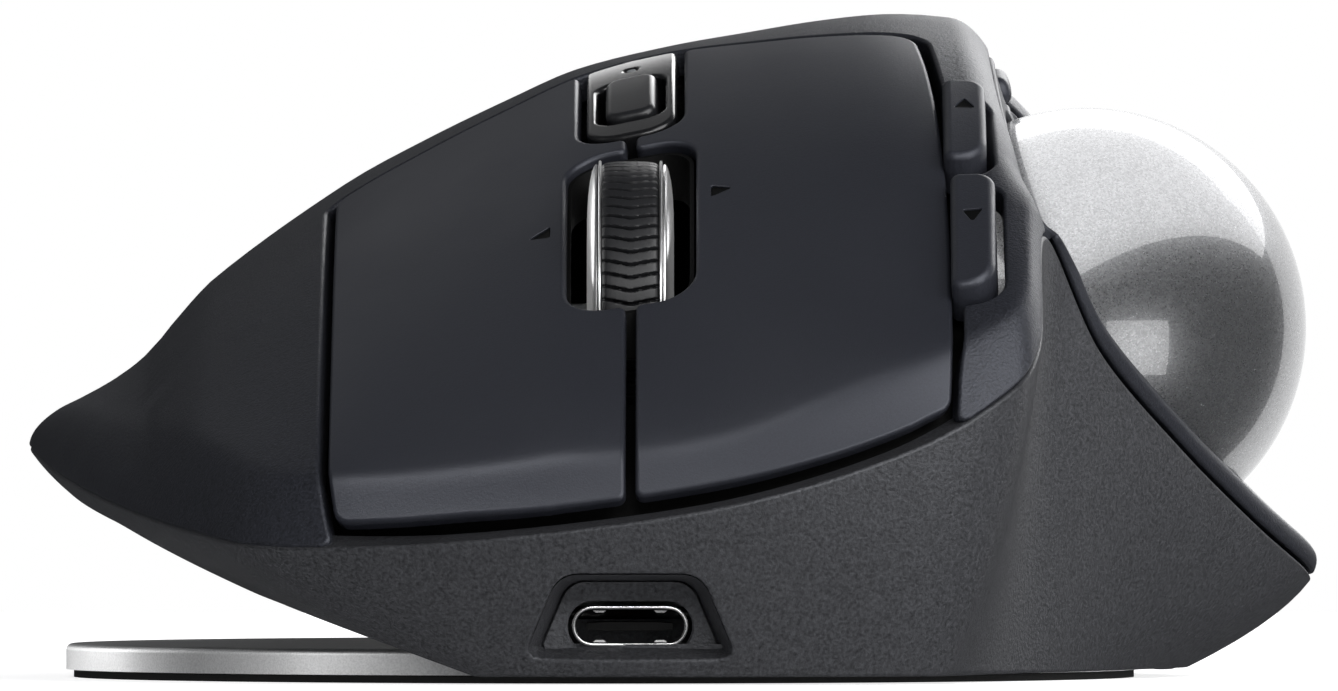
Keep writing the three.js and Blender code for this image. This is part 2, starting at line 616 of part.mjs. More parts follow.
function makeBall() {
  add("trackball", sphere([BALL.x, BALL.y, BALL.z], BALL.radius, 28, 18), LOOK.pearl);
  const outside = arcPoints(SOCKET.outer, 0, SOCKET.reach, 9);
  const outline = [...outside, ...arcPoints(SOCKET.inner, SOCKET.reach, 0, 9)];
  outline[0].x = 0;
  outline[outline.length - 1].x = 0;
  outline.push(outline[0].clone());
  const cup = new THREE.LatheGeometry(outline, 24);
  cup.applyQuaternion(new THREE.Quaternion().setFromUnitVectors(new THREE.Vector3(0, 1, 0), opening));
  cup.translate(BALL.x, BALL.y, BALL.z);
  let socket = solid(cup);
  const footBottom = [EJECT.x, EJECT.y, FLOOR_Z + 0.1];
  const foot = rod(footBottom, [EJECT.x, EJECT.y, SOCKET.footTop], EJECT.radius + SOCKET.footWall);
  const hollow = sphere([BALL.x, BALL.y, BALL.z], (SOCKET.inner + SOCKET.outer) / 2, 24, 16);
  socket = socket.add(foot.subtract(hollow)).subtract(ejectHole);
  const window = socketDirection(0, 0);
  const through = (direction, radius, sides) =>
    rod(fromBall(direction, BALL.radius - 2), fromBall(direction, SENSOR.far), radius, sides);
  socket = socket.subtract(through(window, SENSOR.bore));
  BEARINGS.around.forEach((around, i) => {
    const direction = socketDirection(BEARINGS.lean, around);
    socket = socket.subtract(through(direction, BEARINGS.seat, 12));
    const middle = fromBall(direction, BALL.radius + BEARINGS.stand);
    add("bearing_" + (i + 1), sphere(middle, BEARINGS.radius, 12, 8), LOOK.clear);
  });
  add("ball_socket", socket.intersect(cavity), LOOK.black);
  const lensEnds = [fromBall(window, SENSOR.lensNear), fromBall(window, SENSOR.lensFar)];
  add("sensor_lens", rod(...lensEnds, SENSOR.lensRadius), LOOK.clear);
  const sensorEnds = [fromBall(window, SENSOR.near), fromBall(window, SENSOR.far)];
  add("sensor_module", rod(...sensorEnds, SENSOR.radius, 24), LOOK.black);
}

// ---------------------------------------------------------------- wheel

// A wheel part turned about the wheel's own axis: [radius, x] profile points.
function turned(profile, sides = 24) {
  const points = profile.map(([radius, x]) => new THREE.Vector2(radius, x));
  points.push(points[0].clone());
  const geometry = new THREE.LatheGeometry(points, sides);
  geometry.rotateZ(-Math.PI / 2);
  return solid(geometry.translate(MID_X, WHEEL.y, WHEEL.z));
}

function makeWheel() {
  const { radius, tyreHalf, ringHalf, flankHalf } = WHEEL;
  const inner = radius - TYRE.depth;
  const shoulder = radius - TYRE.crown;
  add("wheel_tyre", turned([
    [inner, -tyreHalf], [shoulder, -tyreHalf], [radius, -TYRE.crownHalf], [radius, TYRE.crownHalf],
    [shoulder, tyreHalf], [inner, tyreHalf],
  ]), LOOK.rubber);
  const rim = inner - 0.8;
  const seat = inner - 0.2;
  add("wheel_hub", turned([
    [AXLE.hubBore, -ringHalf], [rim, -ringHalf], [rim, -tyreHalf], [seat, -tyreHalf],
    [seat, tyreHalf], [rim, tyreHalf], [rim, ringHalf], [AXLE.hubBore, ringHalf],
  ]), LOOK.black);
  const near = ringHalf + 0.1;
  [-1, 1].forEach((side) => {
    const profile = [
      [AXLE.flankBore, side * near], [radius - 0.9, side * near], [radius - 1.4, side * (flankHalf - 0.3)],
      [radius - 4, side * flankHalf], [AXLE.flankBore, side * flankHalf],
    ];
    if (side < 0) profile.reverse();
    add(side < 0 ? "wheel_ring_right" : "wheel_ring_left", turned(profile), LOOK.chrome);
  });
  const end = (side) => [MID_X + side * AXLE.half, WHEEL.y, WHEEL.z];
  add("wheel_axle", rod(end(-1), end(1), AXLE.radius), LOOK.steel);
}

function makeWheelMount() {
  const { y, z } = WHEEL;
  const across = (half) => [MID_X - half, MID_X + half];
  const lengthways = (half) => [y - half, y + half];
  const pin = (half, radius) => rod([MID_X, y - half, ROCKER.z], [MID_X, y + half, ROCKER.z], radius);
  const foot = [...across(BRACKET.halfX), ...lengthways(BRACKET.halfY)];
  let bracket = box(...foot, BOARD.top + 0.1, BRACKET.top);
  for (const side of [-1, 1]) {
    const lug = [y + side * BRACKET.halfY, y + side * BRACKET.lugInner];
    bracket = bracket.add(box(...across(BRACKET.lugHalfX), ...lug, BRACKET.top - 0.5, BRACKET.lugTop));
  }
  add("wheel_bracket", bracket.subtract(pin(FAR, ROCKER.bore)), LOOK.black);
  const plate = box(...across(ROCKER.halfX), ...lengthways(ROCKER.halfY), ROCKER.bottom, ROCKER.top);
  add("wheel_rocker", plate.add(pin(ROCKER.pinHalf, ROCKER.pin)), LOOK.steel);
  let cradle = box(...across(CRADLE.outer), ...lengthways(CRADLE.halfY), CRADLE.bottom, CRADLE.top);
  for (const side of [-1, 1]) {
    const arm = [MID_X + side * CRADLE.inner, MID_X + side * CRADLE.outer];
    cradle = cradle.add(box(...arm, ...lengthways(CRADLE.armHalfY), CRADLE.top - 0.3, z + CRADLE.above));
  }
  add("wheel_cradle", cradle.subtract(rod([-FAR, y, z], [FAR, y, z], AXLE.bore)), LOOK.black);
  const beside = [MID_X - ENCODER.far, MID_X - ENCODER.near];
  const encoder = box(...beside, ...lengthways(ENCODER.halfY), ENCODER.bottom, z - ENCODER.drop);
  add("wheel_encoder", encoder, LOOK.board);
}

// ---------------------------------------------------------------- electronics and fixings

function makeElectronics() {
  const [screwX, screwY] = SCREWS[0];
  add("main_board", boxOf(BOARD).subtract(rod([screwX, screwY, 5], [screwX, screwY, 10], 1.4)), LOOK.board);
  for (const [name, x] of [["right_switch", -15], ["left_switch", 9]]) {
    const body = box(x - SWITCH.halfX, x + SWITCH.halfX, SWITCH.front, SWITCH.rear, BOARD.top, SWITCH.top);
    const plunger = box(x - 0.8, x + 0.8, -50.8, -49.2, SWITCH.top - 0.3, SWITCH.plungerTop);
    add(name, body.add(plunger), LOOK.black);
  }
  const half = PORT.width / 2;
  const up = PORT.height / 2;
  const shellOutline = slot(MID_X, PORT.z - up, PORT.z + up, half, 1.5);
  const holeOutline = slot(MID_X, PORT.z - up + PORT.wall, PORT.z + up - PORT.wall, half - PORT.wall, 1.2);
  const hole = alongY(holeOutline, PORT.front - 1, PORT.rear - 0.4);
  add("usb_receptacle", alongY(shellOutline, PORT.front, PORT.rear).subtract(hole), LOOK.chrome);
  const tongue = [MID_X - PORT.tongueHalf, MID_X + PORT.tongueHalf, PORT.front + 0.7, PORT.rear - 0.6];
  add("usb_tongue", box(...tongue, PORT.z - 0.33, PORT.z + 0.33), LOOK.black);
  add("battery", boxOf(BATTERY), LOOK.steel);
  const slider = sliderWindow(-0.2, FLOOR_Z + 0.4, 6.6).add(
    box(SLIDER.x - 1.6, SLIDER.x + 1.6, SLIDER.y - 4.5, SLIDER.y - 0.5, 3.1, 6),
  );
  add("power_slider", slider, LOOK.graphite);
}

function makeChassis() {
  let chassis = boxOf(CHASSIS);
  const onFloor = below(FLOOR_Z + 0.2, FLOOR_Z + 0.2);
  for (const x of [CHASSIS.left + 2.5, CHASSIS.right - 2.5]) {
    for (const y of [CHASSIS.front + 3, CHASSIS.rear - 3]) {
      const foot = rod([x, y, 4], [x, y, CHASSIS.bottom + 0.5], CHASSIS.footRadius);
      chassis = chassis.add(foot.subtract(onFloor));
    }
  }
  add("inner_chassis", chassis, LOOK.black);
  add("side_switch_board", boxOf(SIDE_BOARD), LOOK.board);
  SCREWS.forEach(([x, y], i) => {
    const top = i === 0 ? BOARD.top - 0.2 : SCREW.top;
    const head = rod([x, y, SCREW.headBottom], [x, y, SCREW.headTop], SCREW.head);
    const shank = rod([x, y, SCREW.headTop - 0.3], [x, y, top], SCREW.radius);
    add("screw_" + (i + 1), head.add(shank), LOOK.steel);
  });
}

// ---------------------------------------------------------------- base plate and tilt hinge

function makeBase() {
  const outline = ellipse(BASE.x, 0, BASE.halfWidth, BASE.halfLength);
  const padOutline = ellipse(BASE.x, 0, BASE.halfWidth - 0.7, BASE.halfLength - 0.7);
  const cut = ejectHole.add(sliderWindow(1.5, -5, 5));
  add("base_plate", prism(outline, BASE.pad, BASE.top).subtract(cut), LOOK.steel);
  add("base_pad", prism(padOutline, 0, BASE.pad).subtract(cut), LOOK.rubber);
  add("hinge_pin", rod([TILT.x, -PIN.half, TILT.z], [TILT.x, PIN.half, TILT.z], PIN.radius), LOOK.steel);
  const onFloor = below(FLOOR_Z + 0.2, FLOOR_Z + 0.2);
  const bore = (play) => rod([TILT.x, -FAR, TILT.z], [TILT.x, FAR, TILT.z], PIN.radius + play);
  KNUCKLE_Y.forEach((y, i) => {
    const name = i ? "rear" : "front";
    const { radius, halfLength } = KNUCKLE;
    const post = box(TILT.x - radius, TILT.x + radius, y - halfLength, y + halfLength, BASE.top, TILT.z);
    const eye = rod([TILT.x, y - halfLength, TILT.z], [TILT.x, y + halfLength, TILT.z], radius);
    add("base_knuckle_" + name, post.add(eye).subtract(bore(0.06)), LOOK.steel);
    const way = Math.sign(y);
    const length = [y + way * SADDLE.near, y + way * SADDLE.far];
    const saddle = box(TILT.x - SADDLE.half, TILT.x + SADDLE.half, ...length, SADDLE.bottom, SADDLE.top);
    add("tilt_saddle_" + name, saddle.subtract(bore(SADDLE.play)).subtract(onFloor), LOOK.black);
  });
  add("rest_magnet", boxOf(MAGNETS.rest), LOOK.steel);
  add("tilt_magnet", boxOf(MAGNETS.tilt), LOOK.steel);
}

makeLowerShell();
makePalmShell();
makeThumbShell();
makeClickButtons();
makeModeSwitch();
makeSideButtons();
makeBall();
makeWheel();
makeWheelMount();
makeElectronics();
makeChassis();
makeBase();

export default part;
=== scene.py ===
import json
import math

import bpy
import numpy as np
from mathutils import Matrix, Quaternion, Vector
from mathutils.geometry import delaunay_2d_cdt

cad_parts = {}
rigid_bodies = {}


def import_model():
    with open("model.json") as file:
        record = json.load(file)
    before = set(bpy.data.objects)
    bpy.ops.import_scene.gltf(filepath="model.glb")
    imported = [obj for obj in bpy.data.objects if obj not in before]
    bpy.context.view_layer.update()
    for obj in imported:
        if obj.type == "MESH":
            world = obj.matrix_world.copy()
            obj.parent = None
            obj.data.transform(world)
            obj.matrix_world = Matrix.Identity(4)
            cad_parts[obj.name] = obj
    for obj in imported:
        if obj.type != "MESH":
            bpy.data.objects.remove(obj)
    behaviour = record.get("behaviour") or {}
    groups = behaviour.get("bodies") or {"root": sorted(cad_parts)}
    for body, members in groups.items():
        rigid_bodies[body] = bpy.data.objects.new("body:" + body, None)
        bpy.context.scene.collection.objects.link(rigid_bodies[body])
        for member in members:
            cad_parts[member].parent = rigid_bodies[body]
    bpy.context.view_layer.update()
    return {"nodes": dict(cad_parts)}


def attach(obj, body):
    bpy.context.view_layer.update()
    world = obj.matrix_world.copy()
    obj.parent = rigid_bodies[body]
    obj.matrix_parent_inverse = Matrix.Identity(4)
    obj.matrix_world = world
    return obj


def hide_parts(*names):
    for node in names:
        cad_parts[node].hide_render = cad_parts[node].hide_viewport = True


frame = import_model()

# A thumb trackball mouse. All shape code below is in millimetres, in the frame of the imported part:
# +Z up, -Y the front with the charging port, +X the thumb side.
MM = 0.001

# ---------------------------------------------------------------- outer surface

CENTRE = np.array([-3.0, 0.0])
MID_X = -2.95
HEIGHT = 51.5
SKIRT_Z = 0.6
TILT_X = -14.7
TILT_RISE = math.tan(math.radians(20))

# Rim between the upper covers and the lower shell, anticlockwise from the front left corner:
# x, y, z; x and y of the lower edge of the wall; width of the band that rolls down to the rim; its roundness.
RIM = np.array([
    [-29.5, -60.5, 10.5, -24, -54.5, 3.2, 0.3],
    [-14, -65.3, 11.2, -12, -59.5, 3, 0.1],
    [4, -66.25, 13.65, 3, -61, 3, 0.1],
    [17, -63.6, 17.4, 13.4, -59.5, 3, 0.1],
    [25, -59.4, 21.6, 19.6, -56.7, 2.6, 0.3],
    [28.2, -54.2, 25.6, 22, -52.2, 2, 0.6],
    [28.8, -40.5, 34.2, 25.2, -41, 2, 0.8],
    [33.1, -34.2, 25.4, 29.5, -32, 4, 1],
    [39.6, -25, 17.8, 34, -22.5, 6, 1],
    [45.6, -14, 11.9, 38, -12, 8, 1],
    [49.7, -3, 8.3, 39.9, -2, 9, 1],
    [49.2, 12, 7.6, 39.5, 12, 12, 1],
    [44, 30, 8.2, 35.5, 28, 15, 1],
    [34, 47, 9.2, 27, 42, 16, 1],
    [18, 60.5, 10.2, 14, 53.5, 15, 1],
    [-2, 66.25, 11, -3, 58.5, 13, 1],
    [-22, 62, 11.5, -19, 54.5, 12, 1],
    [-38, 50, 13, -31, 43, 10, 1],
    [-47, 31, 16, -37.5, 27, 6, 1],
    [-49.9, 10, 17.8, -38.8, 9, 3, 1],
    [-47.5, -12, 15.9, -37.5, -11, 3, 1],
    [-43, -32, 13.7, -34, -30, 3.4, 0.8],
    [-36.5, -50, 11.6, -29.5, -45, 3.4, 0.5],
])
CREST = [
    [-52, 20], [-49.9, 20.2], [-47.6, 20.8], [-43.3, 23], [-40.3, 25.3], [-38.8, 27.2], [-35.3, 31],
    [-25.3, 38.2], [-18.8, 41.8], [-12.2, 45], [-7.2, 47.2], [0, 49], [6.2, 50.1], [11.7, 51], [17, HEIGHT],
    [22, 51.2], [28, 50], [36, 43.5], [44, 32], [52, 14],
]
FALL = [
    [-52, 0.42], [-42, 0.55], [-35, 0.66], [-24, 0.82], [-12, 0.93], [0, 1], [12, 0.98], [21, 0.94],
    [30, 0.86], [52, 0.7],
]
SCOOP_EDGE = np.array([
    [28.3, -40.4], [27.5, -34.5], [26.6, -27], [25.8, -19], [25.3, -10], [25.1, 0], [25.2, 11], [26.7, 22.5],
    [41.2, 33.4],
])
SCOOP_RIM = (6.03, 12.2)
SCOOP_SAG = 3.2
SCOOP_LIP = 2.1
SHOULDER_DROP = 2.5
SHOULDER_WIDTH = 3.2
BALL = np.array([32.3, -8.0, 27.1])
BALL_RADIUS = 17.0


def mix(a, b, t):
    return a + (b - a) * t


def unit(v):
    return v / np.maximum(np.linalg.norm(v, axis=-1, keepdims=True), 1e-12)


def table(pairs):
    """A smooth curve through [x, value] pairs."""
    xs, vs = np.array(pairs, float).T
    slopes = np.gradient(vs)
    slopes[1:-1] = (vs[2:] - vs[:-2]) / (xs[2:] - xs[:-2])
    slopes[0] = (vs[1] - vs[0]) / (xs[1] - xs[0])
    slopes[-1] = (vs[-1] - vs[-2]) / (xs[-1] - xs[-2])

    def at(x):
        x = np.clip(x, xs[0], xs[-1])
        i = np.clip(np.searchsorted(xs, x, side="right") - 1, 0, len(xs) - 2)
        h = xs[i + 1] - xs[i]
        t = (x - xs[i]) / h
        s = t * t * (3 - 2 * t)
        return mix(vs[i], vs[i + 1], s) + h * t * (1 - t) * (slopes[i] * (1 - t) - slopes[i + 1] * t)

    return at


crest = table(CREST)
fall = table(FALL)


def rim_at(u):
    """Every column of the rim table as a smooth closed curve of the row number."""
    u = np.asarray(u, float)
    i = np.floor(u).astype(int)
    t = (u - i)[..., None]
    a, b, c, d = (RIM[(i + k) % len(RIM)] for k in (-1, 0, 1, 2))
    s = t * t * (3 - 2 * t)
    return mix(b, c, s) + t * (1 - t) * ((c - a) * (1 - t) - (d - b) * t) / 2


def crown(x, y):
    run = np.abs(y - 5)
    front = 0.0236 * ((run**2 + 16) ** 0.85 - 16**0.85)
    thumb_side = (x - 20 + np.hypot(x - 20, 8)) / 2
    rear = 0.0085 * run**2 + 0.012 * thumb_side * run**2 / (run + 6)
    return crest(x) - fall(x) * np.where(y < 5, front, rear)


FINE_U = np.linspace(0, len(RIM), 2301)
FINE = rim_at(FINE_U)
FINE_OUT = FINE[:, :2] - CENTRE
FINE_REACH = np.hypot(*FINE_OUT.T)
FINE_ANGLE = np.unwrap(np.arctan2(FINE_OUT[:, 1], FINE_OUT[:, 0]))
_inner = FINE[:, :2] - FINE_OUT * (FINE[:, 5] / FINE_REACH)[:, None]
FINE_LIFT = np.maximum(crown(_inner[:, 0], _inner[:, 1]) - FINE[:, 2], 0.5)
# Length of the band when it is unrolled.
FINE_BAND = mix(
    np.hypot(FINE[:, 5], FINE_LIFT),
    math.pi / 2 * np.sqrt((FINE[:, 5] ** 2 + FINE_LIFT**2) / 2),
    FINE[:, 6],
)


def row_number(angle):
    start = FINE_ANGLE[0]
    wrapped = start + np.mod(angle - start, 2 * math.pi)
    return np.interp(wrapped, FINE_ANGLE, FINE_U)


CREASE = 0.12  # softness of the line where the band starts


def band_share(tau):
    return 0.5 * (tau + 1 - np.sqrt((tau - 1) ** 2 + CREASE**2))


def upper(p):
    """Unrolled plan point -> point of the upper surface. Inside the rim band the plan is its own unrolling."""
    rel = p - CENTRE
    rho = np.hypot(rel[..., 0], rel[..., 1])
    u = row_number(np.arctan2(rel[..., 1], rel[..., 0]))
    row = rim_at(u)
    x, y, z, band, roundness = (row[..., k] for k in (0, 1, 2, 5, 6))
    reach = np.hypot(x - CENTRE[0], y - CENTRE[1])
    length = np.interp(u, FINE_U, FINE_BAND)
    q = np.maximum(reach + length - band - rho, 0)
    share = band_share(q / length)
    turn = np.clip(share, 0, 1) * math.pi / 2
    inset = band * mix(share, 1 - np.cos(turn), roundness) + q - length * share
    rise = mix(share, np.sin(turn), roundness)
    px = mix(x, CENTRE[0], inset / reach)
    py = mix(y, CENTRE[1], inset / reach)
    lift = np.maximum(crown(px, py) - z, 0.5)
    return np.stack([px, py, z + lift * rise], -1)


def rim_line(u, q):
    """Points of the unrolled plan at a distance q above the rim."""
    u = np.asarray(u, float)
    row = rim_at(u)
    out = row[..., :2] - CENTRE
    reach = np.hypot(out[..., 0], out[..., 1])
    grown = reach + np.interp(u % len(RIM), FINE_U, FINE_BAND) - row[..., 5] - q
    return CENTRE + out * (grown / reach)[..., None]


def unrolled(points):
    """Plan points -> the unrolled plan."""
    rel = points - CENTRE
    rho = np.hypot(rel[:, 0], rel[:, 1])
    u = row_number(np.arctan2(rel[:, 1], rel[:, 0]))
    row = rim_at(u)
    reach = np.hypot(row[:, 0] - CENTRE[0], row[:, 1] - CENTRE[1])
    length = np.interp(u, FINE_U, FINE_BAND)
    inset = np.maximum(reach - rho, 0)
    tries = np.linspace(0, 3, 301)[None, :]
    share = band_share(tries)
    turned = np.clip(share, 0, 1) * math.pi / 2
    reached = row[:, 5:6] * mix(share, 1 - np.cos(turned), row[:, 6:7]) + length[:, None] * (tries - share)
    q = np.array([np.interp(a, b, tries[0] * c) for a, b, c in zip(inset, reached, length)])
    q = np.where(inset > reached[:, -1], inset - row[:, 5] + length, q)
    return CENTRE + rel * ((reach + length - row[:, 5] - q) / rho)[:, None]


def wall_point(u, share, inset=0.0):
    row = rim_at(u)
    x, y, z, low_x, low_y = (row[..., k] for k in range(5))
    bulge = share + 0.5 * share * (1 - share)
    px, py = mix(low_x, x, bulge), mix(low_y, y, bulge)
    low_z = SKIRT_Z + TILT_RISE * np.maximum(TILT_X - low_x, 0)
    move = inset / np.hypot(px - CENTRE[0], py - CENTRE[1])
    return np.stack([mix(px, CENTRE[0], move), mix(py, CENTRE[1], move), mix(low_z, z, share)], -1)


FINE_LOW = np.hypot(FINE[:, 3] - CENTRE[0], FINE[:, 4] - CENTRE[1])
FINE_WALL = np.linalg.norm(
    wall_point(FINE_U, np.ones_like(FINE_U)) - wall_point(FINE_U, np.zeros_like(FINE_U)), axis=1)


def lower(p):
    """Unrolled plan point -> point of the wall of the lower shell."""
    rel = p - CENTRE
    rho = np.hypot(rel[..., 0], rel[..., 1])
    u = row_number(np.arctan2(rel[..., 1], rel[..., 0]))
    share = (rho - np.interp(u, FINE_U, FINE_LOW)) / np.interp(u, FINE_U, FINE_WALL)
    return wall_point(u, share)


def wall_line(u, share):
    u = np.asarray(u, float)
    out = rim_at(u)[..., :2] - CENTRE
    rho = np.interp(u % len(RIM), FINE_U, FINE_LOW) + share * np.interp(u % len(RIM), FINE_U, FINE_WALL)
    return CENTRE + out * (rho / np.hypot(out[..., 0], out[..., 1]))[..., None]


# ---------------------------------------------------------------- thumb scoop

_edge_x = table([[i, p[0]] for i, p in enumerate(SCOOP_EDGE)])
_edge_y = table([[i, p[1]] for i, p in enumerate(SCOOP_EDGE)])


def scoop_edge(s):
    at = np.clip(s, 0, 1) * (len(SCOOP_EDGE) - 1)
    plan = np.stack([_edge_x(at), _edge_y(at)], -1)
    flat = unrolled(plan.reshape(-1, 2)).reshape(plan.shape)
    top = upper(flat)
    top[..., 2] -= SHOULDER_DROP * np.minimum(1, 6 * np.clip(s, 0, 1))
    return top


FINE_S = np.linspace(0, 1, 401)
FINE_EDGE = scoop_edge(FINE_S)


def scoop_lip(s):
    lip = wall_point(mix(*SCOOP_RIM, s), np.ones_like(s), 0.1)
    lip[..., 2] += SCOOP_LIP * np.clip(0.25 + 8 * s, 0, 1) * np.clip(0.3 + 9 * (1 - s), 0, 1)
    return lip


def along(s, values):
    return np.stack([np.interp(s, FINE_S, values[:, k]) for k in range(values.shape[1])], -1)


FINE_LIP = scoop_lip(FINE_S)
FINE_GAP = np.hypot(FINE_LIP[:, 0] - FINE_EDGE[:, 0], FINE_LIP[:, 2] - FINE_EDGE[:, 2])
FINE_SPAN = np.linalg.norm(FINE_LIP - FINE_EDGE, axis=1)
_middle = (FINE_LIP + FINE_EDGE) / 2
FINE_RUN = np.concatenate([[0], np.cumsum(np.linalg.norm(np.diff(_middle, axis=0), axis=1))])
LIP_ROLL = 3.0  # unrolled width of the band outside the lip's crest


def scoop_face(s, t):
    edge, lip = along(s, FINE_EDGE), along(s, FINE_LIP)
    gap = np.interp(s, FINE_S, FINE_GAP)
    sag = np.minimum(SCOOP_SAG, gap * 0.12)
    push = 4 * sag * t * (1 - t)
    inward_x, inward_z = (lip[..., 2] - edge[..., 2]) / gap, (edge[..., 0] - lip[..., 0]) / gap
    inward = np.stack([inward_x, np.zeros_like(gap), inward_z], -1)
    return mix(edge, lip, t[..., None]) + inward * push[..., None]


def scoop(p):
    """Unrolled point (run along the scoop, distance across it) -> point of the thumb scoop and its lip."""
    s = np.interp(p[..., 0], FINE_RUN, FINE_S)
    span = np.interp(s, FINE_S, FINE_SPAN)
    across = p[..., 1] + span / 2
    t = np.clip(across / span, -0.02, 1)
    face = scoop_face(s, t)
    over = np.clip((across - span) / LIP_ROLL, 0, 1)[..., None]
    crest_point = scoop_face(s, np.ones_like(s))
    tangent = unit(crest_point - scoop_face(s, np.full_like(s, 0.98)))
    rim = wall_point(mix(*SCOOP_RIM, s), np.ones_like(s), 0.02)
    rim[..., 2] += 0.15
    knee = crest_point + tangent * 1.0
    rolled = (1 - over) ** 2 * crest_point + 2 * over * (1 - over) * knee + over**2 * rim
    return np.where(over > 0, rolled, face)


def scoop_line(s, t, over=0.0):
    s = np.asarray(s, float)
    span = np.interp(s, FINE_S, FINE_SPAN)
    return np.stack([np.interp(s, FINE_S, FINE_RUN), (t - 0.5) * span + over], -1)


# ---------------------------------------------------------------- outlines


def resampled(points, step):
    points = np.asarray(points, float)
    rolled = np.roll(points, -1, axis=0)
    made = []
    for a, b in zip(points, rolled):
        length = np.linalg.norm(b - a)
        if length < 1e-6:
            continue
        count = max(1, int(math.ceil(length / step)))
        made += [mix(a, b, k / count) for k in range(count)]
    return np.array(made)


def rounded(corners, steps=7):
    """A closed outline from [x, y, corner radius] rows."""
    corners = np.asarray(corners, float)
    made = []
    for k, (x, y, radius) in enumerate(corners):
        here = np.array([x, y])
        if radius <= 0:
            made.append(here)
            continue
        before = unit(corners[k - 1, :2] - here)
        after = unit(corners[(k + 1) % len(corners), :2] - here)
        half = math.acos(float(np.clip(before @ after, -1, 1))) / 2
        if half > 1.5:
            made.append(here)
            continue
        middle = here + unit(before + after) * radius / math.sin(half)
        foot = here + before * radius / math.tan(half)
        other = here + after * radius / math.tan(half)
        a = math.atan2(*(foot - middle)[::-1])
        b = math.atan2(*(other - middle)[::-1])
        sweep = (b - a + math.pi) % (2 * math.pi) - math.pi
        for i in range(steps + 1):
            angle = a + sweep * i / steps
            made.append(middle + radius * np.array([math.cos(angle), math.sin(angle)]))
    return np.array(made)


def plain(points, radius=0.0):
    points = np.asarray(points, float)
    return np.column_stack([points, np.full(len(points), radius)])


def slot_rows(x0, x1, y0, y1, radius):
    return [[x0, y0, radius], [x1, y0, radius], [x1, y1, radius], [x0, y1, radius]]


def inside(points, loop):
    """Which points lie in a closed outline."""
    made = np.zeros(len(points), bool)
    x, y = points[:, 0], points[:, 1]
    for (ax, ay), (bx, by) in zip(loop, np.roll(loop, -1, axis=0)):
        if ay == by:
            continue
        crossed = (ay > y) != (by > y)
        made ^= crossed & (x < ax + (y - ay) * (bx - ax) / (by - ay))
    return made


def area(loop):
    x, y = loop.T
    return 0.5 * np.sum(x * np.roll(y, -1) - np.roll(x, -1) * y)


def nearest(points, loop, chunk=2000):
    """Distance from each point to a polyline's corners."""
    made = np.empty(len(points))
    for k in range(0, len(points), chunk):
        part = points[k:k + chunk, None, :] - loop[None, :, :]
        made[k:k + chunk] = np.sqrt((part**2).sum(-1).min(1))
    return made


def leftward(loop):
    """Unit vectors to the left of a closed outline's travel, longer at corners so that edges stay parallel."""
    ahead = unit(np.roll(loop, -1, axis=0) - loop)
    behind = unit(loop - np.roll(loop, 1, axis=0))
    turn = unit(ahead + behind)
    scale = 1 / np.maximum(np.abs((turn * ahead).sum(-1)), 0.6)
    return np.stack([-turn[:, 1], turn[:, 0]], -1) * scale[:, None]


# ---------------------------------------------------------------- meshes

def new_object(name, vertices, faces, loop_normals=None):
    mesh = bpy.data.meshes.new(name)
    mesh.from_pydata((np.asarray(vertices) * MM).tolist(), [], faces)
    mesh.polygons.foreach_set("use_smooth", np.ones(len(mesh.polygons), bool))
    mesh.validate()
    if loop_normals is not None and len(loop_normals) == len(mesh.loops):
        mesh.normals_split_custom_set(np.asarray(loop_normals).tolist())
    mesh.update()
    made = bpy.data.objects.new(name, mesh)
    bpy.context.scene.collection.objects.link(made)
    return made


def surface_normals(surface, flat, step=0.05):
    dx = surface(flat + [step, 0]) - surface(flat - [step, 0])
    dy = surface(flat + [0, step]) - surface(flat - [0, step])
    return unit(np.cross(dx, dy)), unit(dx), unit(dy)


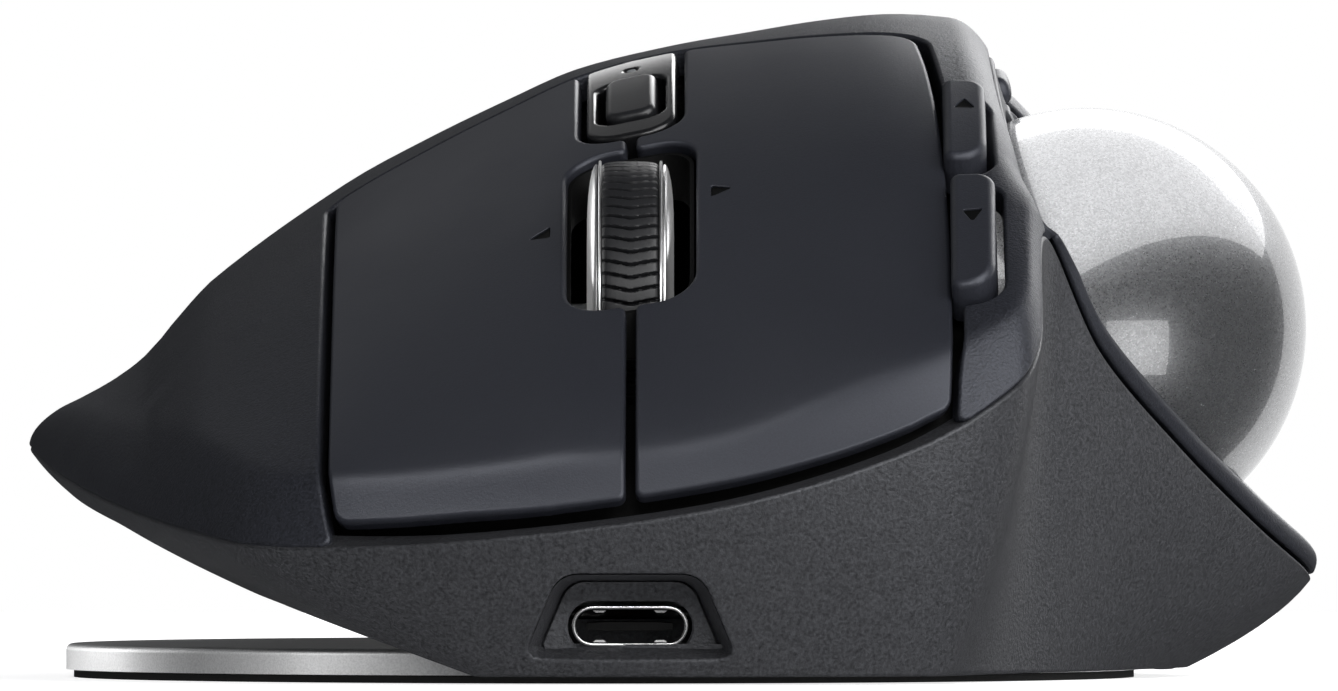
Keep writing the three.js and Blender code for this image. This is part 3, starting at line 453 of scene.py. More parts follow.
def filled(rings, flat, step, fine=None):
    """Triangles between closed rings of point numbers, with new points spread over the inside."""
    loops = [flat[r] for r in rings]
    low, high = loops[0].min(0), loops[0].max(0)
    spread = []
    sizes = [(step, None)] if fine is None else [(step, False), (fine[1], True)]
    for size, wants in sizes:
        xs = np.arange(low[0], high[0], size)
        ys = np.arange(low[1], high[1], size * 0.866)
        gx, gy = np.meshgrid(xs, ys)
        gx = gx + (np.arange(len(ys)) % 2)[:, None] * size / 2
        grid = np.stack([gx.ravel(), gy.ravel()], -1)
        keep = inside(grid, loops[0])
        grid = grid[keep]
        if wants is not None:
            grid = grid[fine[0](grid) == wants]
        for loop in loops[1:]:
            grid = grid[~inside(grid, loop)]
        for loop in loops:
            grid = grid[nearest(grid, loop) > 0.55 * size]
        spread.append(grid)
    if len(spread) == 2 and len(spread[0]) and len(spread[1]):
        spread[0] = spread[0][nearest(spread[0], spread[1]) > 0.6 * step]
    extra = np.concatenate(spread)
    points, edges, count = [], [], 0
    for loop in loops:
        points += [Vector(p) for p in loop]
        edges += [(count + k, count + (k + 1) % len(loop)) for k in range(len(loop))]
        count += len(loop)
    points += [Vector(p) for p in extra]
    verts, _, faces, origin, _, _ = delaunay_2d_cdt(points, edges, [], 0, 1e-5)
    at = np.array([v[:] for v in verts])
    triangles = np.array([f[:] for f in faces])
    middles = at[triangles].mean(1)
    keep = inside(middles, loops[0])
    for loop in loops[1:]:
        keep &= ~inside(middles, loop)
    triangles = triangles[keep]
    numbers = np.concatenate([np.concatenate(rings), np.arange(len(extra)) + len(flat)])
    lost = [k for k, o in enumerate(origin) if not o]
    if lost:
        raise ValueError("an outline crosses itself near %s" % at[lost[:3]].round(2).tolist())
    renumber = np.array([numbers[o[0]] for o in origin])
    triangles = renumber[triangles]
    full = np.concatenate([flat, extra])
    a, b, c = (full[triangles[:, k]] for k in range(3))
    signed = (b[:, 0] - a[:, 0]) * (c[:, 1] - a[:, 1]) - (b[:, 1] - a[:, 1]) * (c[:, 0] - a[:, 0])
    triangles[signed < 0] = triangles[signed < 0][:, ::-1]
    return full, triangles[np.abs(signed) > 1e-9]


def panel(name, surface, outer, holes=(), thick=2.0, edge=0.4, step=1.3, fine=None, proud=0.0, rounds=4,
          hole_edges=None):
    """A cover of even thickness with rounded edges: surface maps the flat outline into space."""
    outer = outer if area(outer) > 0 else outer[::-1]
    holes = [h if area(h) < 0 else h[::-1] for h in holes]
    turns = np.linspace(math.pi / 2, 0, rounds + 1)
    flat, depth, lean, outward, start = [], [], [], [], 0
    rings = []
    for loop, size in zip([outer, *holes], [edge, *(hole_edges or [edge] * len(holes))]):
        left = leftward(loop)
        for angle in turns:
            flat.append(loop + left * size * (1 - math.sin(angle)))
            depth.append(np.full(len(loop), size * (1 - math.cos(angle))))
            lean.append(np.full(len(loop), angle))
            outward.append(-unit(left))
        rings.append([np.arange(len(loop)) + start + k * len(loop) for k in range(rounds + 1)])
        start += (rounds + 1) * len(loop)
    flat, depth, lean, outward = (np.concatenate(v) for v in (flat, depth, lean, outward))
    full, triangles = filled([r[-1] for r in rings], flat, step, fine)
    extra = len(full) - len(flat)
    depth = np.concatenate([depth, np.zeros(extra)])
    normal, dx, dy = surface_normals(surface, full)
    place = surface(full) + normal * (proud - depth)[:, None]
    shaded = normal.copy()
    sideways = unit(outward[:, :1] * dx[:start] + outward[:, 1:] * dy[:start])
    shaded[:start] = unit(np.cos(lean)[:, None] * normal[:start] + np.sin(lean)[:, None] * sideways)
    faces = [tuple(t) for t in triangles.tolist()]
    shades = [shaded[triangles].reshape(-1, 3)]
    for ring in rings:
        for a, b in zip(ring[:-1], ring[1:]):
            a2, b2 = np.roll(a, -1), np.roll(b, -1)
            quads = np.stack([a, a2, b2, b], -1)
            faces += [tuple(q) for q in quads.tolist()]
            shades.append(shaded[quads].reshape(-1, 3))
    # Underside: its own triangles between rings under the edge.
    under_rings, under_flat, count = [], [], 0
    for ring in rings:
        under_flat.append(full[ring[0]])
        under_rings.append(np.arange(len(ring[0])) + count)
        count += len(ring[0])
    under_flat, under_triangles = filled(under_rings, np.concatenate(under_flat), max(step * 1.8, 2.0))
    under_normal, _, _ = surface_normals(surface, under_flat)
    under_place = surface(under_flat) + under_normal * (proud - thick)
    base = len(place)
    flipped = under_triangles[:, ::-1]
    faces += [tuple(t) for t in (flipped + base).tolist()]
    shades.append(-under_normal[flipped].reshape(-1, 3))
    for ring, under in zip(rings, under_rings):
        a, b = ring[0], under
        a2, b2 = np.roll(a, -1), np.roll(b, -1)
        faces += [tuple(q) for q in np.stack([b + base, b2 + base, a2, a], -1).tolist()]
        side, side2 = sideways[a], sideways[a2]
        shades.append(np.stack([side, side2, side2, side], 1).reshape(-1, 3))
    return new_object(name, np.concatenate([place, under_place]), faces, np.concatenate(shades))


def loft(name, rings, closed=True, caps=False):
    """A closed body from rings with equal numbers of points. Closed: the last ring joins the first."""
    rings = [np.asarray(r, float) for r in rings]
    count = len(rings[0])
    vertices = np.concatenate(rings)
    faces = []
    pairs = list(zip(range(len(rings) - 1), range(1, len(rings))))
    if closed:
        pairs.append((len(rings) - 1, 0))
    for a, b in pairs:
        for i in range(count):
            j = (i + 1) % count
            faces.append((a * count + i, a * count + j, b * count + j, b * count + i))
    if caps:
        faces.append(tuple(range(count))[::-1])
        faces.append(tuple((len(rings) - 1) * count + i for i in range(count)))
    return new_object(name, vertices, faces)


def crisp(obj, degrees=35):
    """Smooth shading that stays sharp at corners."""
    mesh = obj.data
    bpy.context.view_layer.objects.active = obj
    obj.select_set(True)
    bpy.ops.object.shade_smooth_by_angle(angle=math.radians(degrees))
    obj.select_set(False)
    return mesh


def turned_x(name, profile, centre, sides=96, closed=True):
    """A body turned about an axis along x: profile rows are [radius, x]."""
    angles = np.linspace(0, 2 * math.pi, sides, endpoint=False)
    rings = []
    for radius, x in profile:
        ring = np.stack([
            np.full(sides, centre[0] + x),
            centre[1] + radius * np.cos(angles), centre[2] + radius * np.sin(angles),
        ], -1)
        rings.append(ring)
    return loft(name, rings, closed)


# ---------------------------------------------------------------- covers

DECK_REAR = [[-26, -6.8], [-15, -4.6], [-7, -3.2], [-2.95, -2], [1.6, -2.4], [10, -5.6], [18, -8.6]]
DECK_RIGHT = [[-68, 22.6], [-60, 21.6], [-45, 21.4], [-30, 20.8], [-18, 20.0], [-11, 19.3], [-6, 19.0]]
deck_rear = table(DECK_REAR)
deck_right = table(DECK_RIGHT)
DECK_LEFT = -25.9
LEFT_GAP = 0.65
REAR_GAP = 0.32
RIGHT_GAP = 0.85
SLIT = 0.38
WELL = {"half": 4.97, "front": -47.5, "rear": -25.2, "radius": 3.0}
ISLAND = {"half": 3.48, "front": -22.4, "radius": 2.6, "gap": 0.6}
RIM_GAP = 0.12
COVER = 2.0


def bottom_edge(x0, x1, q):
    u = np.linspace(0, 4.6, 461)
    line = rim_line(u, q(rim_at(u)[:, 0]))
    xs = line[:, 0]
    keep = (xs > x0 + 2) & (xs < x1 - 2)
    ends = [[x, np.interp(x, xs, line[:, 1])] for x in (x0, x1)]
    return ends[0], line[keep][::12], ends[1]


def plate_bottom(x):
    """Distance of the click plates' front edge above the rim: it rises in the middle and clears the lower
    shell at the little-finger end when the plate is pressed."""
    return 2.0 + 0.6 * np.exp(-(((x + 1) / 14) ** 2)) + 0.45 * np.clip((-9 - x) / 7, 0, 1)


def near_rim(flat):
    rel = flat - CENTRE
    rho = np.hypot(rel[:, 0], rel[:, 1])
    u = row_number(np.arctan2(rel[:, 1], rel[:, 0]))
    length = np.interp(u, FINE_U, FINE_BAND)
    band = np.interp(u, FINE_U, FINE[:, 5])
    q = np.interp(u, FINE_U, FINE_REACH) + length - band - rho
    return (q < length + 1.2) & (band < 8)


def seam_points(x0, x1, gap, step=3.0):
    xs = np.arange(x0, x1, step if x1 > x0 else -step)
    return [[x, float(deck_rear(x)) + gap, 0] for x in xs]


def right_plate_outline():
    inner = MID_X - SLIT
    first, middle, last = bottom_edge(DECK_LEFT, inner, plate_bottom)
    rear = float(deck_rear(MID_X - ISLAND["half"]))
    edge = MID_X - ISLAND["half"] - ISLAND["gap"]
    rows = [[*first, 1.6], *plain(middle).tolist(), [*last, 0.7]]
    rows += [
        [inner, WELL["front"], 0.6], [MID_X - WELL["half"], WELL["front"], WELL["radius"]],
        [MID_X - WELL["half"], WELL["rear"], WELL["radius"]], [inner, WELL["rear"], 0.6],
        [inner, ISLAND["front"] - ISLAND["gap"], 0.55],
        [edge, ISLAND["front"] - ISLAND["gap"], ISLAND["radius"] + 0.4], [edge, rear, 0.7],
    ]
    rows += seam_points(edge - 2, DECK_LEFT + 2.2, 0)
    rows.append([DECK_LEFT, float(deck_rear(DECK_LEFT)), 1.5])
    return rounded(rows)


def left_plate_outline():
    inner = MID_X + SLIT
    corner = float(deck_right(-66))
    first, middle, last = bottom_edge(inner, corner, plate_bottom)
    edge = MID_X + ISLAND["half"] + ISLAND["gap"]
    rows = [[*first, 0.7], *plain(middle).tolist(), [*last, 1.2]]
    rows += [[float(deck_right(y)), y, 0] for y in np.arange(-58, -13, 3.0)]
    rows.append([19.1, float(deck_rear(18)) - 0.5, 3.6])
    rows += seam_points(14.5, edge + 1.5, 0)
    rows += [
        [edge, float(deck_rear(edge)), 0.7],
        [edge, ISLAND["front"] - ISLAND["gap"], ISLAND["radius"] + 0.4],
        [inner, ISLAND["front"] - ISLAND["gap"], 0.55], [inner, WELL["rear"], 0.6],
        [MID_X + WELL["half"], WELL["rear"], WELL["radius"]],
        [MID_X + WELL["half"], WELL["front"], WELL["radius"]],
        [inner, WELL["front"], 0.6],
    ]
    return rounded(rows)


SIDE_KEYS = {
    "forward": {"rear": -23.2, "front": -36.5, "left": 21.0, "right": 24.3, "bay": 24.95},
    "back": {"rear": -38.9, "front": -53.5, "left": 21.45, "right": 24.9, "bay": 25.5},
}


def palm_outline():
    left = DECK_LEFT - LEFT_GAP
    right = float(deck_right(-66)) + RIGHT_GAP
    start, _, stop = bottom_edge(left, right, lambda x: np.full_like(x, RIM_GAP))
    plan_x = rim_line(FINE_U[:460], RIM_GAP)[:, 0]
    u_left, u_right = (float(np.interp(x, plan_x, FINE_U[:460])) for x in (left, right))
    before, after = rim_line(np.array([u_left - 0.16, u_right + 0.16]), RIM_GAP)
    rows = [[*before, 0], [*start, 0.8], [left, float(deck_rear(left)) + REAR_GAP, 2.0]]
    rows += seam_points(left + 3, 14, REAR_GAP)
    rows.append([19.1 + RIGHT_GAP, float(deck_rear(18)) - 0.5 + REAR_GAP, 4.2])

    def beside(y):
        return float(deck_right(y)) + RIGHT_GAP

    for key in SIDE_KEYS.values():
        high, low = key["rear"] + 0.4, key["front"] - 0.4
        rows += [
            [beside(high), high, 0.5], [key["bay"], high, 1.8], [key["bay"], low, 2.2], [beside(low), low, 0.5],
        ]
    rows += [[beside(y), y, 0] for y in (-56, -58.5, -61)]
    rows += [[*stop, 0.8], [*after, 0]]
    outline = rounded(rows)
    front = rim_line(np.arange(u_right + 0.2, SCOOP_RIM[0] - 0.02, 0.04), RIM_GAP)
    edge = SCOOP_FLAT[2:-2] - [0.12, 0.0]
    back = rim_line(np.arange(SCOOP_RIM[1] + 0.06, len(RIM) + u_left - 0.18, 0.04), RIM_GAP)
    return np.concatenate([outline, front, edge, back])


SCOOP_PLAN = np.stack([_edge_x(FINE_S[::4] * 8), _edge_y(FINE_S[::4] * 8)], -1)
SCOOP_FLAT = unrolled(SCOOP_PLAN)


def edge_distance(points, chunk=3000):
    """Distance to the scoop's upper edge, and the share along it of the nearest point."""
    a, b = SCOOP_FLAT[:-1], SCOOP_FLAT[1:]
    d = b - a
    size = (d**2).sum(-1)
    flat = points.reshape(-1, 2)
    far, where = np.empty(len(flat)), np.empty(len(flat))
    for k in range(0, len(flat), chunk):
        rel = flat[k:k + chunk, None, :] - a[None]
        t = np.clip((rel * d).sum(-1) / size, 0, 1)
        gap = np.linalg.norm(rel - t[..., None] * d, axis=-1)
        best = gap.argmin(1)
        pick = np.arange(len(best))
        far[k:k + chunk] = gap[pick, best]
        where[k:k + chunk] = (best + t[pick, best]) / len(a)
    return far.reshape(points.shape[:-1]), where.reshape(points.shape[:-1])


def palm(p):
    made = upper(p)
    far, where = edge_distance(p)
    share = np.clip(1 - far / SHOULDER_WIDTH, 0, 1)
    made[..., 2] -= SHOULDER_DROP * np.minimum(1, 6 * where) * share**2
    return made


def palm_fine(flat):
    return near_rim(flat) | (edge_distance(flat)[0] < 3.6)


def triangle(x, y, size, way):
    """An arrowhead that points along +x, -x, +y or -y."""
    dx, dy = way
    tip = [x + dx * size, y + dy * size, 0.16]
    a = [x - dx * size * 0.7 - dy * size * 0.85, y - dy * size * 0.7 + dx * size * 0.85, 0.16]
    b = [x - dx * size * 0.7 + dy * size * 0.85, y - dy * size * 0.7 - dx * size * 0.85, 0.16]
    return rounded([tip, a, b], 3)


ARROWS = {
    "scroll_arrow_right": {"at": (-9.8, -35.6), "size": 1.0, "way": (-1, 0), "body": "right_click"},
    "scroll_arrow_left": {"at": (3.9, -34.4), "size": 1.0, "way": (1, 0), "body": "left_click"},
    "forward_arrow": {"at": (22.6, -28.0), "size": 1.05, "way": (0, 1), "body": "forward_key"},
    "back_arrow": {"at": (23.2, -44.9), "size": 1.0, "way": (0, -1), "body": "back_key"},
}


def arrow_outline(name, grow=0.0):
    arrow = ARROWS[name]
    made = resampled(triangle(*arrow["at"], arrow["size"], arrow["way"]), 0.3)
    return made - leftward(made if area(made) > 0 else made[::-1]) * grow if grow else made


palm_cover = panel("palm_cover", palm, resampled(palm_outline(), 0.7), thick=COVER, edge=0.32, step=1.5,
                   fine=(palm_fine, 0.62))
right_plate = panel("right_plate", upper, resampled(right_plate_outline(), 0.6),
                    [arrow_outline("scroll_arrow_right")], thick=1.0, edge=0.4, step=1.5, fine=(near_rim, 0.55),
                    hole_edges=[0.07])
left_plate = panel("left_plate", upper, resampled(left_plate_outline(), 0.6),
                   [arrow_outline("scroll_arrow_left")], thick=1.0, edge=0.4, step=1.5, fine=(near_rim, 0.55),
                   hole_edges=[0.07])

# Mode switch island, its key and its lamp.
island_rear = float(deck_rear(MID_X))
island_rows = [
    [MID_X - ISLAND["half"], ISLAND["front"], ISLAND["radius"]],
    [MID_X + ISLAND["half"], ISLAND["front"], ISLAND["radius"]],
    [MID_X + ISLAND["half"], float(deck_rear(MID_X + ISLAND["half"])), 0.6],
    [MID_X, island_rear + 0.1, 0],
    [MID_X - ISLAND["half"], float(deck_rear(MID_X - ISLAND["half"])), 0.6],
]
KEY = {"half": 1.95, "front": -18.9, "rear": -9.6}
key_hole = rounded(slot_rows(MID_X - 2.6, MID_X + 2.6, KEY["front"] - 0.65, KEY["rear"] + 0.25, 1.6))
lamp = rounded(slot_rows(MID_X - 0.42, MID_X + 0.42, -6.5, -5.5, 0.38), 5)
trim_island = panel("trim_island", upper, resampled(rounded(island_rows), 0.4),
                    [resampled(key_hole, 0.35), resampled(lamp, 0.15)], thick=2.4, edge=0.42, step=0.9)
key_rows = slot_rows(MID_X - KEY["half"], MID_X + KEY["half"], KEY["front"], KEY["rear"], 1.15)
mode_key_cap = panel("mode_key_cap", upper, resampled(rounded(key_rows), 0.3), thick=3.0, edge=0.55, step=0.7,
                     proud=0.35, rounds=5)
lamp_rows = slot_rows(MID_X - 0.36, MID_X + 0.36, -6.44, -5.56, 0.33)
status_dot = panel("status_dot", upper, resampled(rounded(lamp_rows, 5), 0.12), thick=1.6, edge=0.1, step=0.3,
                   proud=-0.06, rounds=2)

# Side keys.
side_caps = {}
for label, key in SIDE_KEYS.items():
    rows = [
        [key["left"], key["front"], 0.8], [key["right"], key["front"], 2.4], [key["right"], key["rear"], 1.6],
        [key["left"], key["rear"], 0.8],
    ]
    cap_outline = resampled(rounded(rows), 0.4)
    side_caps[label] = panel(label + "_cap", upper, cap_outline, [arrow_outline(label + "_arrow")], thick=3.4,
                             edge=0.62, step=0.8, proud=1.5, rounds=6, hole_edges=[0.07])
arrows = {}
for label, arrow in ARROWS.items():
    rise = 1.38 if "key" in arrow["body"] else -0.13
    arrows[label] = panel(label, upper, arrow_outline(label, -0.03), thick=0.7, edge=0.05, step=0.5, proud=rise,
                          rounds=2)

# ---------------------------------------------------------------- thumb scoop, precision key, ball


def outline_around(surface, centre, middle, radius, count=96, far=26.0):
    """The closed outline on the flat plan where the surface leaves a sphere."""
    angles = np.linspace(0, 2 * math.pi, count, endpoint=False)
    way = np.stack([np.cos(angles), np.sin(angles)], -1)
    near, out = np.zeros(count), np.full(count, far)
    for _ in range(40):
        half = (near + out) / 2
        gap = np.linalg.norm(surface(middle + way * half[:, None]) - centre, axis=1) - radius
        near = np.where(gap < 0, half, near)
        out = np.where(gap < 0, out, half)
    return middle + way * near[:, None]


def mirrored(surface):
    return lambda p: surface(p * [-1.0, 1.0])


scoop_out = mirrored(scoop)
SCOOP_SHARES = np.linspace(0.025, 0.992, 150)
scoop_low = scoop_line(SCOOP_SHARES, 0.0, 0.18) * [-1, 1]
scoop_high = scoop_line(SCOOP_SHARES, 1.0, LIP_ROLL) * [-1, 1]
scoop_outline = resampled(np.concatenate([scoop_low, scoop_high[::-1]]), 0.7)
grid_s, grid_t = np.meshgrid(np.linspace(0.2, 0.8, 61), np.linspace(0.2, 0.8, 31))
face_points = scoop_face(grid_s.ravel(), grid_t.ravel())
closest = np.linalg.norm(face_points - BALL, axis=1).argmin()
ball_middle = scoop_line(grid_s.ravel()[closest], grid_t.ravel()[closest]) * [-1, 1]
ball_hole = resampled(outline_around(scoop_out, BALL, ball_middle, BALL_RADIUS + 0.65, 140), 0.6)


def along_edge(s0, s1, a0, a1, radius):
    """A rounded slot that follows the scoop's upper edge, between two distances from it."""
    s = np.linspace(s0, s1, 8)
    low = scoop_line(s, 0.0, a0) * [-1, 1]
    high = scoop_line(s, 0.0, a1) * [-1, 1]
    rows = plain(np.concatenate([low, high[::-1]]))
    rows[[0, 7, 8, 15], 2] = radius
    return resampled(rounded(rows), 0.4)


precision_hole = along_edge(0.573, 0.737, 0.93, 3.95, 1.2)
precision_outline = along_edge(0.576, 0.734, 1.13, 3.45, 1.05)


def scoop_fine(flat):
    s = np.interp(-flat[:, 0], FINE_RUN, FINE_S)
    return flat[:, 1] > np.interp(s, FINE_S, FINE_SPAN) / 2 - 1.5


scoop_cover = panel("scoop_cover", scoop_out, scoop_outline, [ball_hole, precision_hole], thick=1.7, edge=0.3,
                    step=1.3, fine=(scoop_fine, 0.45))
precision_cap = panel("precision_cap", scoop_out, precision_outline, thick=2.6, edge=0.9, step=0.7, proud=0.65,
                      rounds=6)


def ball_mesh(name, radius, around=144, down=90):
    rings = []
    for k in range(1, down):
        angle = math.pi * k / down
        turn = np.linspace(0, 2 * math.pi, around, endpoint=False)
        rings.append(BALL + radius * np.stack([
            math.sin(angle) * np.cos(turn), math.sin(angle) * np.sin(turn), np.full(around, -math.cos(angle)),
        ], -1))
    vertices = np.concatenate([*rings, [BALL - [0, 0, radius]], [BALL + [0, 0, radius]]])
    faces = []
    for r in range(len(rings) - 1):
        for i in range(around):
            j = (i + 1) % around
            faces.append((r * around + i, r * around + j, (r + 1) * around + j, (r + 1) * around + i))
    low, top, last = len(vertices) - 2, len(vertices) - 1, (len(rings) - 1) * around
    for i in range(around):
        j = (i + 1) % around
        faces += [(low, j, i), (top, last + i, last + j)]
    return new_object(name, vertices, faces)


ball_cover = ball_mesh("ball_cover", BALL_RADIUS)

# ---------------------------------------------------------------- lower shell

lower_out = mirrored(lower)


def wall_loop(share_of):
    u = np.arange(0, len(RIM), 0.05)
    return wall_line(u, share_of(u)) * [-1, 1]


def top_share(u):
    return 1 - 0.16 / (rim_at(u)[:, 2] - SKIRT_Z)


def on_wall(x, z):
    """Unrolled plan points of the front wall seen at x, z from the front."""
    x, z = np.asarray(x, float), np.asarray(z, float)
    u = np.full_like(x, 1.6)
    tries = np.linspace(0.2, 3.6, 341)
    for _ in range(12):
        row = rim_at(u)
        low_z = SKIRT_Z + TILT_RISE * np.maximum(TILT_X - row[:, 3], 0)
        share = (z - low_z) / (row[:, 2] - low_z)
        place = wall_point(tries[None, :], share[:, None])[..., 0]
        u = np.array([np.interp(a, b, tries) for a, b in zip(x, place)])
    return wall_line(u, share) * [-1, 1]


PORT_Z = 4.45
RECESS = rounded([
    [MID_X - 8.1, 1.95, 0.8], [MID_X, 1.85, 0], [MID_X + 8.1, 1.95, 0.8], [MID_X + 5.4, 8.4, 2.2],
    [MID_X - 5.4, 8.4, 2.2],
], 9)


def by_angle(loop, count, middle):
    """A closed outline sampled at even angles about a point."""
    dense = resampled(loop, 0.05) - middle
    angle = np.arctan2(dense[:, 1], dense[:, 0])
    order = np.argsort(angle)
    at = np.linspace(-math.pi, math.pi, count, endpoint=False)
    radius = np.interp(at, angle[order], np.hypot(*dense[order].T), period=2 * math.pi)
    return middle + np.stack([np.cos(at), np.sin(at)], -1) * radius[:, None]


port_middle = np.array([MID_X, PORT_Z + 0.4])
recess_ring = by_angle(RECESS, 120, port_middle)
port_hole = on_wall(recess_ring[:, 0], recess_ring[:, 1])
BASE = {"x": -5.05, "rx": 41.75, "ry": 50.0, "pad": 0.6, "top": 2.6}
RECESS_GROW = 1.2
CEILING_Z = 2.92
CEILING_BEND = TILT_X - 0.63


def facet_z(x, flat_z, bend_x):
    run = bend_x - x
    return flat_z + TILT_RISE * 0.5 * (run + np.sqrt(run**2 + 0.02))


def wall_foot(u):
    """Share of the wall's lower edge: raised where the base plate's recess runs out through the wall."""
    shares = np.linspace(0, 0.6, 61)
    place = wall_point(np.asarray(u)[:, None], shares[None, :])
    x, y, z = place[..., 0], place[..., 1], place[..., 2]
    oval_share = ((x - BASE["x"]) / (BASE["rx"] + RECESS_GROW)) ** 2 + (y / (BASE["ry"] + RECESS_GROW)) ** 2
    cut = (oval_share < 1) & (z < facet_z(x, CEILING_Z, CEILING_BEND))
    last = np.where(cut.any(1), shares[60 - cut[:, ::-1].argmax(1)], 0.0)
    smooth = np.convolve(np.concatenate([last[-6:], last, last[:6]]), np.ones(5) / 5, "same")[6:-6]
    return np.maximum(smooth, 0)


lower_cover = panel("lower_cover", lower_out, resampled(wall_loop(top_share), 0.8),
                    [wall_loop(wall_foot), port_hole], thick=2.1, edge=0.3, step=1.5)


def on_plane(ring, y):
    return np.column_stack([ring[:, 0], np.full(len(ring), y), ring[:, 1]])


def port_slot(half, up, radius):
    return by_angle(rounded(slot_rows(MID_X - half, MID_X + half, PORT_Z - up, PORT_Z + up, radius), 9), 120,
                    port_middle)


front_edge = lower_out(port_hole)
recess_back = -60.0
wall_ring = front_edge + [0, 0.3, 0]
floor_ring = port_middle + (recess_ring - port_middle) * [0.87, 0.86]
floor_ring[:, 1] = np.maximum(floor_ring[:, 1], 2.1)
mid_ring = (wall_ring + on_plane(floor_ring, recess_back + 0.25)) / 2
slot_in = port_slot(4.72, 1.9, 1.85)
port_recess = loft("port_recess", [
    wall_ring, mid_ring, on_plane(floor_ring, recess_back + 0.35),
    on_plane(port_middle + (floor_ring - port_middle) * 0.97, recess_back),
    on_plane(port_middle + (slot_in - port_middle) * 1.03, recess_back), on_plane(slot_in, recess_back + 0.12),
    on_plane(slot_in, recess_back + 5), on_plane(port_middle + (slot_in - port_middle) * 1.15, recess_back + 5),
    on_plane(port_middle + (slot_in - port_middle) * 1.2, recess_back + 1),
    on_plane(floor_ring, recess_back + 1.2), wall_ring + [0, 0.9, 0],
])

shell_out, shell_in = port_slot(4.4, 1.55, 1.54), port_slot(4.12, 1.27, 1.26)
shell_mid = (shell_out + shell_in) / 2
port_front = -60.05
port_shell = loft("port_shell", [
    on_plane(shell_in, port_front + 0.12), on_plane(shell_in * 0.7 + shell_mid * 0.3, port_front + 0.03),
    on_plane(shell_mid, port_front), on_plane(shell_out * 0.7 + shell_mid * 0.3, port_front + 0.03),
    on_plane(shell_out, port_front + 0.12), on_plane(shell_out, -51.6), on_plane(shell_in, -51.6),
][::-1])
tongue_rings = []
for scale, y in ((0.9, -59.1), (0.98, -59.02), (1.0, -58.9), (1.0, -52.2)):
    tongue_rings.append(on_plane(by_angle(rounded(slot_rows(
        MID_X - 3.3 * scale, MID_X + 3.3 * scale, PORT_Z - 0.35 * scale, PORT_Z + 0.35 * scale, 0.16), 4), 80,
        np.array([MID_X, PORT_Z])), y))
port_tongue = loft("port_tongue", tongue_rings, False, True)
port_springs = []
for side, up in ((-1, 1), (1, 1), (-1, -1), (1, -1)):
    x, z = MID_X + side * 2.3, PORT_Z + up * 1.2
    arc = np.array([[x - 0.5, z], [x + 0.5, z], [x + 0.3, z - up * 0.16], [x - 0.3, z - up * 0.16]])
    arc = arc if area(arc) > 0 else arc[::-1]
    name = "port_spring_%d" % (len(port_springs) + 1)
    port_springs.append(loft(name, [on_plane(arc, -58.2), on_plane(arc, -56.8)], False, True))


def oval(x, rx, ry, count=240):
    angle = np.linspace(0, 2 * math.pi, count, endpoint=False)
    return np.stack([x + rx * np.cos(angle), ry * np.sin(angle)], -1)


def circle(x, y, radius, count=48):
    return oval(x, radius, radius, count) + [0, y]


def level(z):
    return lambda p: np.concatenate([p, np.full(p.shape[:-1] + (1,), float(z))], -1)


def folded(flat_z, bend_x):
    """Seen from below: flat, then rising by the tilt angle left of the bend."""
    return lambda p: np.stack([-p[..., 0], p[..., 1], facet_z(-p[..., 0], flat_z, bend_x)], -1)


every_u = np.arange(0, len(RIM), 0.05)
skirt_middle = np.array([-BASE["x"], 0.0])
low_plan = by_angle(wall_point(every_u, np.zeros_like(every_u), 0.7)[:, :2] * [-1, 1], 360, skirt_middle)
recess_plan = by_angle(
    oval(BASE["x"], BASE["rx"] + RECESS_GROW, BASE["ry"] + RECESS_GROW) * [-1, 1], 360, skirt_middle)
low_reach = np.linalg.norm(low_plan - skirt_middle, axis=1)
recess_reach = np.linalg.norm(recess_plan - skirt_middle, axis=1)
wide = low_reach - recess_reach > 1.0
turn = int(np.argmin(wide))
wide, low_turned, recess_turned = (np.roll(v, -turn, axis=0) for v in (wide, low_plan, recess_plan))
starts = [k for k in range(1, len(wide)) if wide[k] and not wide[k - 1]]
skirts = []
for start in starts:
    stop = start
    while stop < len(wide) and wide[stop]:
        stop += 1
    if stop - start < 6:
        continue
    strip = np.concatenate([low_turned[start:stop], recess_turned[start:stop][::-1]])
    name = "skirt_%d" % (len(skirts) + 1)
    skirts.append(panel(name, folded(0.62, TILT_X), resampled(strip, 0.9), thick=2.5, edge=0.12, step=2.2))

slider_window = rounded(slot_rows(13.5, 20.5, 17.5, 30.5, 0.8))
knuckles = [rounded(slot_rows(-19.3, -11.1, y - 4.2, y + 4.2, 0.6)) for y in (-12, 12)]
screw_wells = [circle(x, y, 2.6) for x, y in ((-12, 40), (10, 42))]
ceiling_holes = [
    resampled(h, 0.8) * [-1, 1] for h in [circle(30.3, -8, 3.6), slider_window, *knuckles, *screw_wells]
]
shares = np.linspace(0, 0.7, 71)
inner_wall = wall_point(every_u[:, None], shares[None, :], 0.9)
above = inner_wall[..., 2] >= facet_z(inner_wall[..., 0], CEILING_Z, CEILING_BEND)
level_wall = inner_wall[np.arange(len(every_u)), above.argmax(1), :2]
wall_reach = np.linalg.norm(by_angle(level_wall * [-1, 1], 360, skirt_middle) - skirt_middle, axis=1)
ceiling_reach = np.minimum(recess_reach + 0.6, wall_reach)
ceiling_loop = skirt_middle + unit(recess_plan - skirt_middle) * ceiling_reach[:, None]
floor_cover = panel("floor_cover", folded(CEILING_Z, CEILING_BEND), resampled(ceiling_loop, 0.9), ceiling_holes,
                    thick=2.0, edge=0.2, step=2.5)
plate_holes = [
    resampled(circle(30.3, -8, 3.6), 0.5), resampled(rounded(slot_rows(12.5, 21.5, 16.5, 31.5, 1.2)), 0.6),
]
